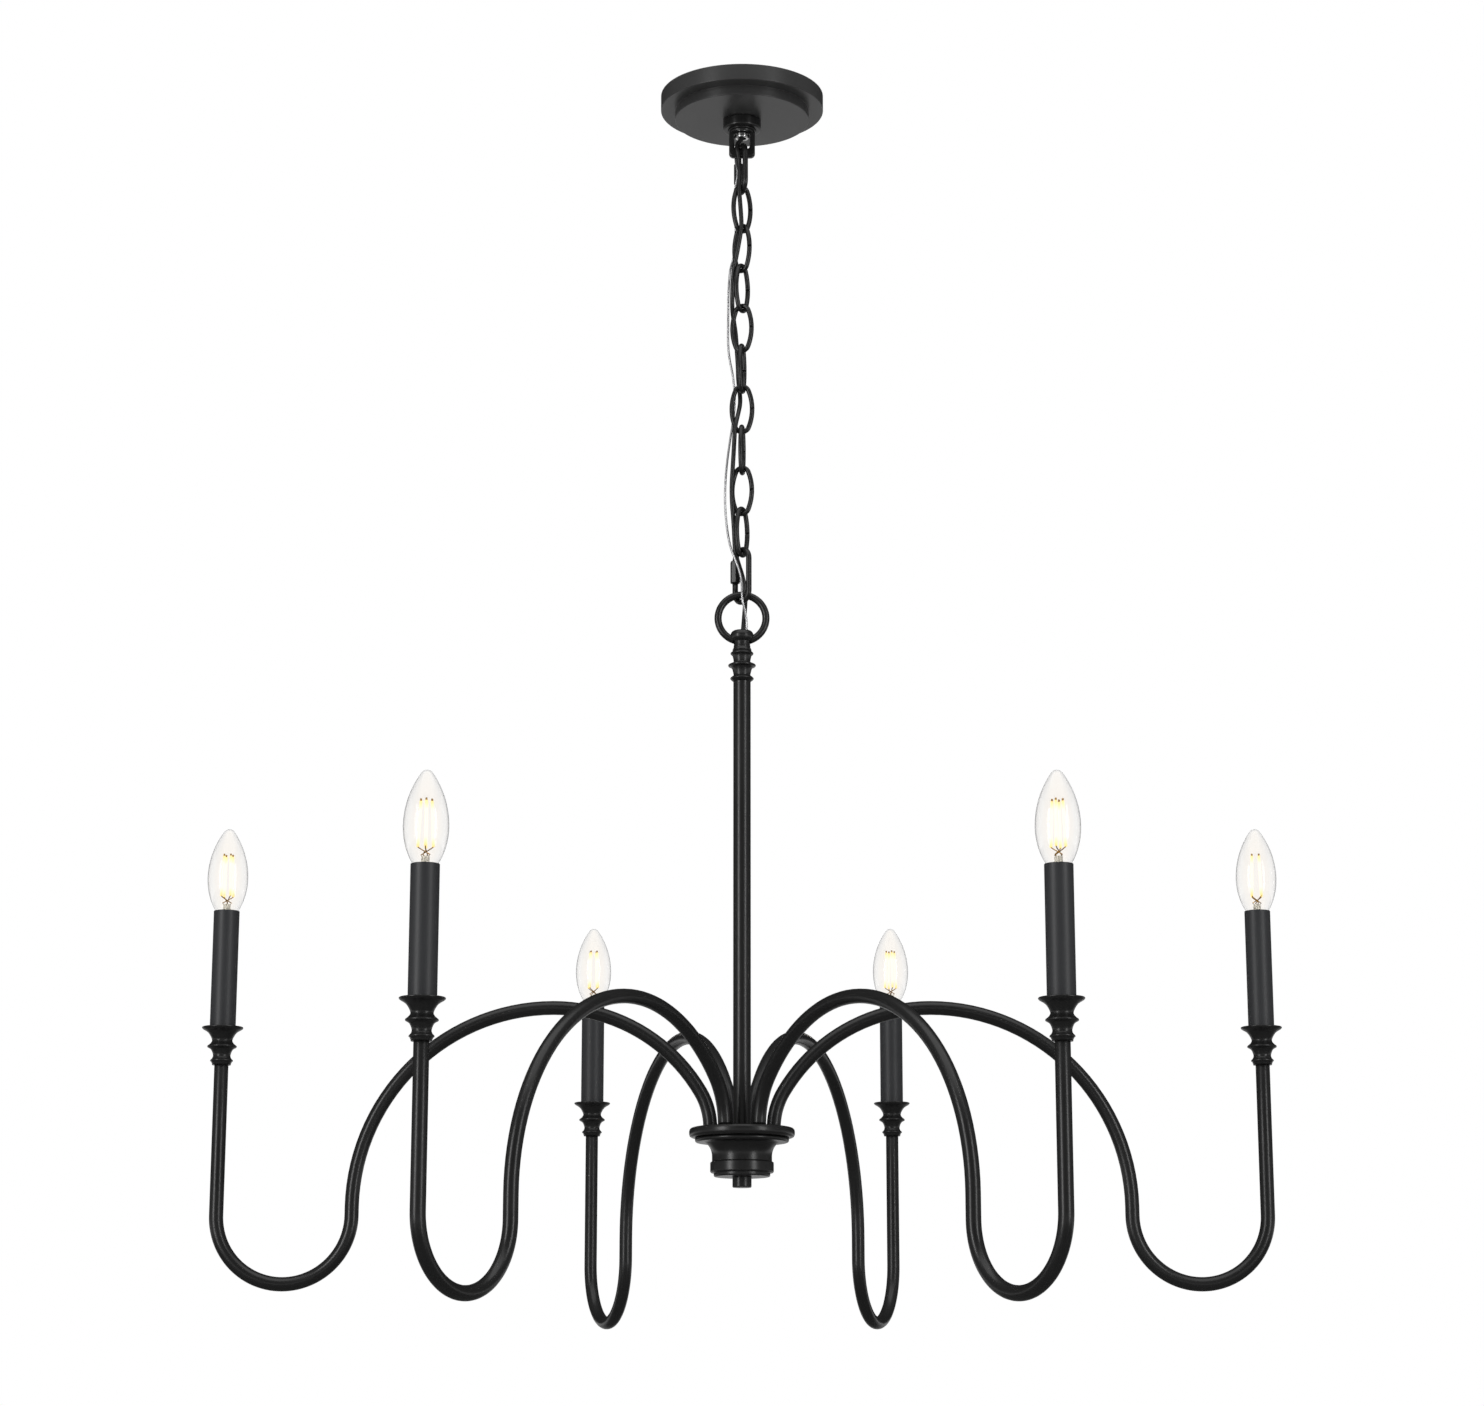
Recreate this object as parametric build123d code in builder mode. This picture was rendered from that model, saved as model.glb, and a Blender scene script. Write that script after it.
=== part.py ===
"""Candle chandelier with swept arms, hung by a chain from a round ceiling canopy.

Millimetres, +Z up. The origin is on the ceiling, at the middle of the mounting strap,
and the whole fixture hangs below it.
"""

from build123d import *
from math import atan2, cos, degrees, radians, sin, sqrt, tan
import os

# Ceiling strap, nipple and nuts
STRAP_LENGTH = 112.0
STRAP_WIDTH = 18.0
STRAP_THICKNESS = 2.0
BOX_SCREW_SPACING = 88.9
SLOT_LENGTH = 12.0
SLOT_WIDTH = 5.0
PIPE_D = 9.6
PIPE_BORE_D = 7.8
PIPE_HOLE_D = 9.8
PIPE_NUT_FLATS = 14.0
PIPE_NUT_HEIGHT = 3.5
NIPPLE_LENGTH = 39.0
FIT_GAP = 0.2

# Canopy and its screw collar
CANOPY_D = 148.0
CANOPY_RIM_HEIGHT = 14.6
CANOPY_STEP_D = 122.0
CANOPY_DEPTH = 23.4
CANOPY_WALL = 1.2
CANOPY_EDGE = 1.7
CANOPY_HOLE_D = 26.0
COLLAR_D = 34.5
COLLAR_BORE_D = 25.6
COLLAR_HEIGHT = 9.6
COLLAR_EDGE = 1.6

# Loop under the canopy
LOOP_BASE_D = 25.0
LOOP_BASE_TOP = -9.0
LOOP_BASE_BOTTOM = -36.0
LOOP_WIDTH = 23.6
LOOP_BAR_DEPTH = 6.4
LOOP_BAR_HEIGHT = 8.2
LOOP_TOP = -28.0
LOOP_BOTTOM = -59.3
LOOP_CORNER = 4.0
LOOP_EDGE = 1.8
WINDOW_WIDTH = 13.8
WINDOW_TOP = -38.0
WINDOW_CORNER = 2.5

# Chain of open-seam links between two quick links
LINK_WIRE = 4.3
LINK_WIDTH = 22.4
LINK_PITCH = 38.0
LINK_PLAY = 0.2
LINK_SEAM = 0.5
LINK_END_R = 6.2
FIRST_JUNCTION = -89.7
LINK_YAWS = (33, -42, 55, -20, 77, 0, 82, -16, 59)
QUICK_WIRE = 5.0
QUICK_WIDTH = 24.0
QUICK_GATE = 9.0
TOP_QUICK_YAW = -72.0
TOP_GATE_RISE = -2.0
LOWER_QUICK_YAW = -51.0
LOWER_GATE_RISE = 5.0
LINK_NUT_FLATS = 8.0
LINK_NUT_LENGTH = 20.0
LINK_NUT_BORE_D = 5.6
BODY_GAP = 0.5

# Flexible cord and bare earth wire, threaded down beside the chain
FLEX_D = 4.0
EARTH_D = 2.0
CORD_BEND_SHARE = 0.45
FLEX_ROUTE = [
    (1.5, 0.3, -30.0), (1.2, 0.0, -38.0), (-0.9, -1.8, -42.5), (-3.6, -3.5, -46.3), (-4.7, -5.3, -50.2),
    (-4.2, -6.5, -55.0), (-3.0, -6.4, -61.0), (-1.8, -5.6, -72.0), (-2.9, -7.4, -89.7), (-1.4, -6.4, -108.7),
    (-0.2, -7.4, -127.7), (-1.8, -6.6, -138.0), (-3.4, -5.2, -147.0), (-5.2, -3.2, -156.0), (-7.2, -1.4, -165.7),
    (-8.4, 0.2, -178.0), (-8.8, 2.6, -191.0), (-8.8, 5.8, -203.7), (-7.4, 7.8, -213.0), (-5.6, 7.8, -225.0),
    (-4.6, 6.4, -241.7), (-3.6, 6.0, -257.0), (-3.4, 7.4, -269.0), (-2.0, 9.2, -279.7), (-1.4, 6.0, -291.0),
    (-3.2, 0.6, -302.0), (-5.0, -4.4, -311.0), (-6.4, -5.2, -319.0), (-7.2, -4.8, -336.7), (-8.3, -4.6, -355.7),
    (-9.2, -4.0, -371.0), (-8.9, -4.0, -387.0), (-7.6, -3.0, -402.0), (-6.8, -1.6, -416.0), (-6.2, -0.4, -431.0),
    (-3.2, 0.4, -441.5), (0.0, 1.6, -451.0), (2.2, 4.0, -460.0), (3.2, 6.0, -470.0), (2.6, 5.0, -481.0),
    (1.6, 2.2, -494.0), (0.9, 0.6, -503.0), (0.4, 0.2, -510.0),
]
EARTH_ROUTE = [
    (-2.6, 0.2, -30.0), (-2.6, 0.3, -39.0), (-3.3, 1.7, -44.0), (-5.2, 3.9, -48.7), (-7.0, 5.4, -56.0),
    (-8.2, 5.6, -64.0), (-9.0, 5.8, -77.0), (-9.0, 4.6, -90.0), (-9.4, 3.0, -108.0), (-9.4, 2.6, -127.7),
    (-9.9, 1.0, -147.0), (-10.2, 0.0, -163.0), (-11.6, -1.0, -178.0), (-12.4, 0.0, -191.0), (-12.4, 1.4, -205.0),
    (-12.5, 1.0, -222.0), (-12.6, 0.8, -238.0), (-11.2, 1.6, -252.0), (-8.4, 2.2, -264.5), (-7.0, 2.9, -277.0),
    (-6.2, 4.4, -289.0), (-7.0, 4.4, -301.0), (-8.6, 3.8, -313.0), (-10.6, 2.0, -327.0), (-13.2, -0.4, -347.0),
    (-14.9, -1.2, -367.0), (-15.2, -1.0, -387.0), (-13.9, -0.6, -405.0), (-11.8, -1.2, -420.0),
    (-9.2, -2.6, -430.5), (-6.2, -3.4, -438.0), (-3.4, -3.2, -445.5), (-0.8, -3.4, -454.5), (0.0, -5.0, -464.0),
    (-0.2, -6.4, -471.5), (0.6, -6.2, -478.0), (2.6, -3.8, -485.5), (4.1, -0.9, -494.0), (4.2, 0.2, -503.0),
    (3.6, 0.3, -510.0),
]

# Ring, turned neck and stem
RING_D = 48.6
RING_TUBE = 6.4
RING_Z = -491.5
RING_OPENING = 27.0
DOME_D = 20.6
DOME_TOP = -503.0
DOME_MIDDLE = -507.8
DOME_BOTTOM = -512.6
DOME_WAIST_D = 13.8
DOME_ROUND = 4.6
NECK_TOP = -517.0
NECK_BOTTOM = -549.0
NECK_D = 15.0
NECK_BEADS = ((-523.6, 20.4), (-534.4, 24.4), (-546.2, 21.0))
NECK_BEAD_EDGE = 1.4
NECK_WAIST_D = 14.2
CORD_MOUTH_D = 13.0
CORD_MOUTH_DEPTH = 8.0
STEM_D = 15.2
STEM_WALL = 1.5
PIPE_ENGAGED = 4.0

# Hub: arm plate, turned cover and bottom plug
HUB_Z = -947.0
PLATE_D = 90.0
PLATE_THICKNESS = 8.3
PLATE_EDGE = 3.2
LIP_D = 80.0
LIP_HEIGHT = 4.0
LIP_EDGE = 2.4
COVE_TOP_D = 67.0
COVE_D = 51.0
COVE_HEIGHT = 12.0
BAND_D = 54.0
BAND_TOP = 20.0
BAND_BOTTOM = 29.7
BAND_EDGE = 1.2
FOOT_D = 48.0
COVER_HEIGHT = 33.0
COVER_FLOOR = 3.0
COVER_CAVITY_D = 62.0
COVER_CAVITY_DEPTH = 2.5
COVER_SHELF_D = 54.0
COVER_SHELF_DEPTH = 6.8
COVER_WELL_D = 45.0
COVER_WELL_DEPTH = 10.0
PLUG_D = 16.2
PLUG_HEIGHT = 9.0
PLUG_BORE_DEPTH = 6.0
PLUG_EDGE = 0.8

# Arms, bent from round tube in one vertical plane each
ARM_D = 12.0
ARM_TAIL_D = 8.0
ARM_TAIL_HOLE_D = 8.4
ARM_TAIL_LENGTH = 8.0
ARM_NUT_FLATS = 12.0
ARM_NUT_HEIGHT = 4.0
ARM_NUT_RECESS_D = 14.6
ARM_NUT_RECESS = 4.8
ARM_FOOT_R = 27.0
ARM_FOOT_BEND = 60.0
ARM_TOP_R = 161.6
ARM_TOP_HEIGHT = 94.0
ARM_LEG_R = 330.4
ARM_TROUGH_HEIGHT = -94.3
CANDLE_R = 445.0
CUP_SEAT_HEIGHT = 62.5
SIDE_RISE = 23.6
FRONT_AZIMUTH = 57.8
BACK_AZIMUTH = 70.7

# Candle cups and sleeves
CUP_HEIGHT = 32.5
CUP_RIM_D = 35.0
CUP_RIM_THICKNESS = 1.2
CUP_WAIST_D = 17.5
CUP_WAIST_DEPTH = 10.7
CUP_BEAD_D = 25.0
CUP_BEAD_DEPTH = 16.4
CUP_BEAD_THICKNESS = 0.9
CUP_NECK_D = 14.9
CUP_NECK_DEPTH = 23.9
CUP_RING_D = 19.2
CUP_RING_DEPTH = 28.3
CUP_RING_THICKNESS = 1.1
CUP_FOOT_D = 17.0
SLEEVE_D = 22.0
SLEEVE_BORE_D = 20.4
SLEEVE_HEIGHT = 100.3

# Lampholders, measured up from the cup seat
HOLDER_FOOT_D = 14.0
HOLDER_FOOT_HEIGHT = 14.0
HOLDER_TAIL_DEPTH = 8.0
HOLDER_POST_D = 9.0
HOLDER_SOCKET_BOTTOM = 56.0
HOLDER_SOCKET_TOP = 90.0
HOLDER_SOCKET_D = 18.4
HOLDER_TAPER = 4.0
HOLDER_FLOOR = 2.0
HOLDER_BORE_D = 14.8

# Candle bulbs, measured up from the top of the sleeve
BULB_D = 34.6
BULB_MIDDLE = 28.4
BULB_TIP = 71.9
BULB_TIP_ANGLE = 35.0
BULB_NECK_D = 19.2
BULB_GLASS_BOTTOM = -10.0
BULB_GLASS_BOTTOM_D = 16.8
BULB_WALL = 0.9
BULB_CAVITY_BOTTOM = -5.0
CAP_D = 14.0
CAP_LENGTH = 25.0
CAP_TIP_D = 6.0
CAP_TIP_LENGTH = 2.0
CAP_EDGE = 1.0
STRIP_COUNT = 4
STRIP_BOTTOM = 13.0
STRIP_TOP = 46.0
STRIP_WIDTH = 1.5
STRIP_LOW_SPREAD = 6.2
STRIP_HIGH_SPREAD = 4.2
STALK_D = 4.4
STALK_TOP = 8.0
LEAD_WIDTH = 0.7

os.makedirs("parts", exist_ok=True)


def save(builder, name):
    """Labels a finished piece and writes it under the same name."""
    builder.part.label = name
    export_step(builder.part, f"parts/{name}.step")


def polar(radius, azimuth, height):
    """A point at a radius and an azimuth in degrees about the vertical axis."""
    return (radius * cos(radians(azimuth)), radius * sin(radians(azimuth)), height)


def upright(x, y, height, yaw=0.0):
    """A level plane whose X axis is turned by yaw degrees."""
    return Plane(origin=(x, y, height), x_dir=polar(1, yaw, 0), z_dir=(0, 0, 1))


def profile_plane(x, y, height, azimuth=0.0):
    """A vertical plane for outlines: X runs outwards along the azimuth, Y runs up."""
    out = radians(azimuth)
    return Plane(origin=(x, y, height), x_dir=polar(1, azimuth, 0), z_dir=(sin(out), -cos(out), 0))


def hexagon(flats):
    """Draws a hexagon with the given size across its flats."""
    RegularPolygon(radius=flats / sqrt(3), side_count=6)


# Mounting strap with two slots for the screws of a ceiling box
with BuildPart() as mounting_strap:
    with BuildSketch(Plane.XY):
        RectangleRounded(STRAP_LENGTH, STRAP_WIDTH, STRAP_WIDTH / 4)
        with Locations((-BOX_SCREW_SPACING / 2, 0), (BOX_SCREW_SPACING / 2, 0)):
            SlotOverall(SLOT_LENGTH, SLOT_WIDTH, mode=Mode.SUBTRACT)
        Circle(PIPE_HOLE_D / 2, mode=Mode.SUBTRACT)
    extrude(amount=-STRAP_THICKNESS)
save(mounting_strap, "mounting_strap")

# Threaded nipple that carries the loop from the strap
with BuildPart() as strap_nipple:
    with BuildSketch(Plane.XY):
        Circle(PIPE_D / 2)
        Circle(PIPE_BORE_D / 2, mode=Mode.SUBTRACT)
    extrude(amount=-NIPPLE_LENGTH)
save(strap_nipple, "strap_nipple")

# Two hexagon nuts, locked between the strap and the loop's base
with BuildPart() as nipple_nuts:
    for nut_top in (-STRAP_THICKNESS, -STRAP_THICKNESS - PIPE_NUT_HEIGHT):
        with BuildSketch(upright(0, 0, nut_top)):
            hexagon(PIPE_NUT_FLATS)
            Circle(PIPE_HOLE_D / 2, mode=Mode.SUBTRACT)
        extrude(amount=FIT_GAP - PIPE_NUT_HEIGHT)
save(nipple_nuts, "nipple_nuts")

# Canopy: a thin spun shell with one step, open at the ceiling
rim_r = CANOPY_D / 2
step_r = CANOPY_STEP_D / 2
hole_r = CANOPY_HOLE_D / 2
with BuildPart() as canopy:
    with BuildSketch(Plane.XZ):
        with BuildLine():
            FilletPolyline(
                (hole_r, -CANOPY_DEPTH),
                (step_r, -CANOPY_DEPTH),
                (step_r, -CANOPY_RIM_HEIGHT),
                (rim_r, -CANOPY_RIM_HEIGHT),
                (rim_r, 0),
                (rim_r - CANOPY_WALL, 0),
                (rim_r - CANOPY_WALL, CANOPY_WALL - CANOPY_RIM_HEIGHT),
                (step_r - CANOPY_WALL, CANOPY_WALL - CANOPY_RIM_HEIGHT),
                (step_r - CANOPY_WALL, CANOPY_WALL - CANOPY_DEPTH),
                (hole_r, CANOPY_WALL - CANOPY_DEPTH),
                radius=[0, CANOPY_EDGE, 0, CANOPY_EDGE, 0, 0, CANOPY_EDGE - CANOPY_WALL, 0,
                        CANOPY_EDGE - CANOPY_WALL, 0],
                close=True,
            )
        make_face()
    revolve(axis=Axis.Z)
save(canopy, "canopy")

# Screw collar that holds the canopy up
with BuildPart() as canopy_collar:
    with BuildSketch(upright(0, 0, -CANOPY_DEPTH)):
        Circle(COLLAR_D / 2)
        Circle(COLLAR_BORE_D / 2, mode=Mode.SUBTRACT)
    extrude(amount=-COLLAR_HEIGHT)
    fillet(canopy_collar.edges().filter_by(GeomType.CIRCLE).sort_by(SortBy.RADIUS)[-2:], COLLAR_EDGE)
save(canopy_collar, "canopy_collar")

# Loop: a flat bracket with a window for the first link, under a threaded base
window_bottom = LOOP_BOTTOM + LOOP_BAR_HEIGHT
with BuildPart() as canopy_loop:
    with BuildSketch(Plane.XZ):
        with Locations((0, (LOOP_TOP + LOOP_BOTTOM) / 2)):
            RectangleRounded(LOOP_WIDTH, LOOP_TOP - LOOP_BOTTOM, LOOP_CORNER)
        with Locations((0, (WINDOW_TOP + window_bottom) / 2)):
            RectangleRounded(WINDOW_WIDTH, WINDOW_TOP - window_bottom, WINDOW_CORNER, mode=Mode.SUBTRACT)
    extrude(amount=LOOP_BAR_DEPTH / 2, both=True)
    fillet(canopy_loop.faces().filter_by(Axis.Y).edges(), LOOP_EDGE)
    with BuildSketch(upright(0, 0, LOOP_BASE_TOP)):
        Circle(LOOP_BASE_D / 2)
    extrude(amount=LOOP_BASE_BOTTOM - LOOP_BASE_TOP)
    with Locations((0, 0, LOOP_BASE_TOP)):
        Hole(PIPE_HOLE_D / 2, LOOP_BASE_TOP - window_bottom - LOOP_EDGE)
save(canopy_loop, "canopy_loop")


def wire_along(path, diameter):
    """Adds a round wire along a path to the active part."""
    with BuildSketch(Plane(origin=path @ 0, z_dir=path % 0)) as section:
        Circle(diameter / 2)
    sweep(section.sketch, path=path)


def oval_path(plane):
    """The centre line of an oval chain link from four arcs, open at the seam in its right side."""
    half_width = (LINK_WIDTH - LINK_WIRE) / 2
    half_length = (LINK_PITCH + LINK_PLAY + LINK_WIRE) / 2
    end_z = half_length - LINK_END_R
    side_r = (half_width**2 + end_z**2 - LINK_END_R**2) / (2 * (half_width - LINK_END_R))
    side_angle = degrees(atan2(end_z, side_r - half_width))
    seam_angle = degrees(LINK_SEAM / 2 / side_r)
    with BuildLine(plane) as path:
        CenterArc((half_width - side_r, 0), side_r, seam_angle, side_angle - seam_angle)
        CenterArc((0, end_z), LINK_END_R, side_angle, 180 - 2 * side_angle)
        CenterArc((side_r - half_width, 0), side_r, 180 - side_angle, 2 * side_angle)
        CenterArc((0, -end_z), LINK_END_R, 180 + side_angle, 180 - 2 * side_angle)
        CenterArc((half_width - side_r, 0), side_r, -side_angle, side_angle - seam_angle)
    return path.wires()[0]


def quick_path(plane, inner_length, rise):
    """The centre line of a quick link: straight legs and round ends, open at the gate in its left leg."""
    end_z = (inner_length + 2 * QUICK_WIRE - QUICK_WIDTH) / 2
    with BuildLine(plane) as path:
        Line((-quick_leg, rise - QUICK_GATE / 2), (-quick_leg, -end_z))
        CenterArc((0, -end_z), quick_leg, 180, 180)
        Line((quick_leg, -end_z), (quick_leg, end_z))
        CenterArc((0, end_z), quick_leg, 0, 180)
        Line((-quick_leg, end_z), (-quick_leg, rise + QUICK_GATE / 2))
    return path.wires()[0]


# Nine oval chain links, each with an open seam on one side, turned as they hang
with BuildPart() as chain_links:
    for number, yaw in enumerate(LINK_YAWS):
        middle = FIRST_JUNCTION - LINK_PITCH * (number + 0.5)
        hanging = profile_plane(0, 0, middle, yaw)
        wire_along(oval_path(hanging), LINK_WIRE)
save(chain_links, "chain_links")

# Quick links: a link with a gate in its left leg, closed by a long hexagon nut
ring_seat = RING_Z + RING_D / 2 - RING_TUBE
last_junction = FIRST_JUNCTION - LINK_PITCH * len(LINK_YAWS)
quick_leg = (QUICK_WIDTH - QUICK_WIRE) / 2
quick_links = {
    "top": (window_bottom + BODY_GAP, FIRST_JUNCTION - LINK_PLAY, TOP_QUICK_YAW, TOP_GATE_RISE),
    "lower": (last_junction + LINK_PLAY, ring_seat - BODY_GAP, LOWER_QUICK_YAW, LOWER_GATE_RISE),
}
for place, (inner_top, inner_bottom, yaw, rise) in quick_links.items():
    middle = (inner_top + inner_bottom) / 2
    hanging = profile_plane(0, 0, middle, yaw)
    with BuildPart() as quick_link:
        wire_along(quick_path(hanging, inner_top - inner_bottom, rise), QUICK_WIRE)
    save(quick_link, f"{place}_quick_link")
    with BuildPart() as link_nut:
        with BuildSketch(upright(0, 0, middle + rise, yaw)):
            with Locations((-quick_leg, 0)):
                hexagon(LINK_NUT_FLATS)
                Circle(LINK_NUT_BORE_D / 2, mode=Mode.SUBTRACT)
        extrude(amount=LINK_NUT_LENGTH / 2, both=True)
    save(link_nut, f"{place}_link_nut")


def cord_tube(name, route, diameter):
    """Sweeps a tube along a route of straight runs and tangent arcs, and prints how gently it bends."""
    points = [Vector(*point) for point in route]
    runs = [(b - a) for a, b in zip(points, points[1:])]
    radii = []
    for before, after in zip(runs, runs[1:]):
        half_turn = radians(before.get_angle(after)) / 2
        radii.append(CORD_BEND_SHARE * min(before.length, after.length) / tan(half_turn))
    with BuildLine() as path:
        FilletPolyline(points, radius=radii)
    line = path.wires()[0]
    with BuildPart() as tube:
        with BuildSketch(Plane(origin=line @ 0, z_dir=line % 0)):
            section = Circle(diameter / 2)
        sweep(path=line)
    share = tube.part.volume / (section.area * line.length)
    print(name, "length", round(line.length, 1), "volume over section times length", round(share, 4))
    print(name, "bend radii in diameters", [round(radius / diameter, 1) for radius in radii])
    save(tube, name)


cord_tube("flex_cord", FLEX_ROUTE, FLEX_D)
cord_tube("ground_wire", EARTH_ROUTE, EARTH_D)

# Stem ring cast in one piece with its dome, with a mouth for the cords
with BuildPart() as stem_loop:
    with BuildLine(Plane.XZ) as ring_line:
        CenterArc((0, RING_Z), (RING_D - RING_TUBE) / 2, RING_OPENING / 2 - 90, 360 - RING_OPENING)
    ring_path = ring_line.wires()[0]
    with BuildSketch(Plane(origin=ring_path @ 0, z_dir=ring_path % 0)):
        Circle(RING_TUBE / 2)
    sweep(path=ring_path)
    with BuildSketch(Plane.XZ):
        with BuildLine():
            RadiusArc((CORD_MOUTH_D / 2, DOME_TOP), (DOME_D / 2, DOME_MIDDLE), DOME_ROUND)
            RadiusArc((DOME_D / 2, DOME_MIDDLE), (DOME_WAIST_D / 2, DOME_BOTTOM), DOME_ROUND)
            Polyline((DOME_WAIST_D / 2, DOME_BOTTOM), (NECK_D / 2, NECK_TOP), (0, NECK_TOP), (0, DOME_TOP),
                     (CORD_MOUTH_D / 2, DOME_TOP))
        make_face()
    revolve(axis=Axis.Z)
    with Locations((0, 0, DOME_TOP + RING_TUBE)):
        CounterBoreHole(
            radius=PIPE_HOLE_D / 2,
            counter_bore_radius=CORD_MOUTH_D / 2,
            counter_bore_depth=CORD_MOUTH_DEPTH + RING_TUBE,
            depth=DOME_TOP - NECK_TOP + RING_TUBE,
        )
save(stem_loop, "stem_loop")

# Turned neck: three beads with hollows between them
with BuildPart() as stem_neck:
    with BuildSketch(Plane.XZ):
        with BuildLine():
            last = (NECK_D / 2, NECK_TOP)
            for bead_z, bead_d in NECK_BEADS:
                edge_top = (bead_d / 2, bead_z + NECK_BEAD_EDGE / 2)
                edge_bottom = (bead_d / 2, bead_z - NECK_BEAD_EDGE / 2)
                ThreePointArc(last, (NECK_WAIST_D / 2, (last[1] + edge_top[1]) / 2), edge_top)
                Line(edge_top, edge_bottom)
                last = edge_bottom
            Polyline(last, (NECK_D / 2, NECK_BOTTOM), (PIPE_HOLE_D / 2, NECK_BOTTOM),
                     (PIPE_HOLE_D / 2, NECK_TOP), (NECK_D / 2, NECK_TOP))
        make_face()
    revolve(axis=Axis.Z)
save(stem_neck, "stem_neck")

# Stem tube, and the threaded pipe that clamps neck, stem and hub together
plate_top = HUB_Z + PLATE_THICKNESS
with BuildPart() as stem_tube:
    with BuildSketch(upright(0, 0, plate_top)):
        Circle(STEM_D / 2)
        Circle(STEM_D / 2 - STEM_WALL, mode=Mode.SUBTRACT)
    extrude(amount=NECK_BOTTOM - plate_top)
save(stem_tube, "stem_tube")

cover_bottom = HUB_Z - COVER_HEIGHT
with BuildPart() as center_pipe:
    with BuildSketch(upright(0, 0, cover_bottom - PLUG_BORE_DEPTH + FIT_GAP)):
        Circle(PIPE_D / 2)
        Circle(PIPE_BORE_D / 2, mode=Mode.SUBTRACT)
    extrude(amount=NECK_TOP + PIPE_ENGAGED - cover_bottom + PLUG_BORE_DEPTH - FIT_GAP)
save(center_pipe, "center_pipe")

# Azimuth and extra height of each arm, seen from above and starting at the right
arms = [
    (0.0, SIDE_RISE),
    (BACK_AZIMUTH, 0.0),
    (180.0 - BACK_AZIMUTH, 0.0),
    (180.0, SIDE_RISE),
    (180.0 + FRONT_AZIMUTH, 0.0),
    (360.0 - FRONT_AZIMUTH, 0.0),
]

# Arm plate with a hole for each arm's threaded tail and a recess for its nut
with BuildPart() as hub_plate:
    with BuildSketch(upright(0, 0, HUB_Z)):
        Circle(PLATE_D / 2)
    extrude(amount=PLATE_THICKNESS)
    fillet(hub_plate.edges().filter_by(GeomType.CIRCLE), PLATE_EDGE)
    with BuildSketch(upright(0, 0, HUB_Z)):
        Circle(PIPE_HOLE_D / 2)
        with Locations(*[polar(ARM_FOOT_R, azimuth, 0) for azimuth, rise in arms]):
            Circle(ARM_TAIL_HOLE_D / 2)
    extrude(amount=PLATE_THICKNESS, mode=Mode.SUBTRACT)
    with BuildSketch(upright(0, 0, HUB_Z)):
        with Locations(*[polar(ARM_FOOT_R, azimuth, 0) for azimuth, rise in arms]):
            Circle(ARM_NUT_RECESS_D / 2)
    extrude(amount=ARM_NUT_RECESS, mode=Mode.SUBTRACT)
save(hub_plate, "hub_plate")

# Turned cover under the plate: lip, cove, band and stepped foot, hollow for the wiring
with BuildPart() as hub_cover:
    with BuildSketch(profile_plane(0, 0, HUB_Z)):
        with BuildLine():
            EllipticalCenterArc(
                center=(COVE_TOP_D / 2, -LIP_HEIGHT - COVE_HEIGHT),
                x_radius=(COVE_TOP_D - COVE_D) / 2,
                y_radius=COVE_HEIGHT,
                start_angle=90,
                arc_size=90,
            )
            Polyline((COVE_TOP_D / 2, -LIP_HEIGHT), (LIP_D / 2 - LIP_EDGE, -LIP_HEIGHT),
                     (LIP_D / 2, LIP_EDGE - LIP_HEIGHT), (LIP_D / 2, 0),
                     (COVER_CAVITY_D / 2, 0), (COVER_CAVITY_D / 2, -COVER_CAVITY_DEPTH),
                     (COVER_SHELF_D / 2, -COVER_SHELF_DEPTH), (COVER_WELL_D / 2, -COVER_WELL_DEPTH),
                     (COVER_WELL_D / 2, COVER_FLOOR - COVER_HEIGHT),
                     (PIPE_HOLE_D / 2, COVER_FLOOR - COVER_HEIGHT), (PIPE_HOLE_D / 2, -COVER_HEIGHT),
                     (FOOT_D / 2, -COVER_HEIGHT), (FOOT_D / 2, -BAND_BOTTOM),
                     (BAND_D / 2 - BAND_EDGE, -BAND_BOTTOM), (BAND_D / 2, BAND_EDGE - BAND_BOTTOM),
                     (BAND_D / 2, -BAND_TOP - BAND_EDGE), (COVE_D / 2, -BAND_TOP),
                     (COVE_D / 2, -LIP_HEIGHT - COVE_HEIGHT))
        make_face()
    revolve(axis=Axis.Z)
save(hub_cover, "hub_cover")

# Bottom plug, screwed on the end of the centre pipe
with BuildPart() as hub_plug:
    with BuildSketch(upright(0, 0, cover_bottom)):
        Circle(PLUG_D / 2)
    extrude(amount=-PLUG_HEIGHT)
    chamfer(hub_plug.faces().sort_by(Axis.Z)[0].edges(), PLUG_EDGE)
    with Locations((0, 0, cover_bottom)):
        Hole(PIPE_HOLE_D / 2, PLUG_BORE_DEPTH)
save(hub_plug, "hub_plug")

# Hexagon nuts on the tails of the arms, in the plate's recesses
with BuildPart() as arm_nuts:
    with BuildSketch(upright(0, 0, HUB_Z + ARM_NUT_RECESS)):
        with Locations(*[polar(ARM_FOOT_R, azimuth, 0) for azimuth, rise in arms]):
            hexagon(ARM_NUT_FLATS)
            Circle(ARM_TAIL_HOLE_D / 2, mode=Mode.SUBTRACT)
    extrude(amount=-ARM_NUT_HEIGHT)
save(arm_nuts, "arm_nuts")


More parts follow.
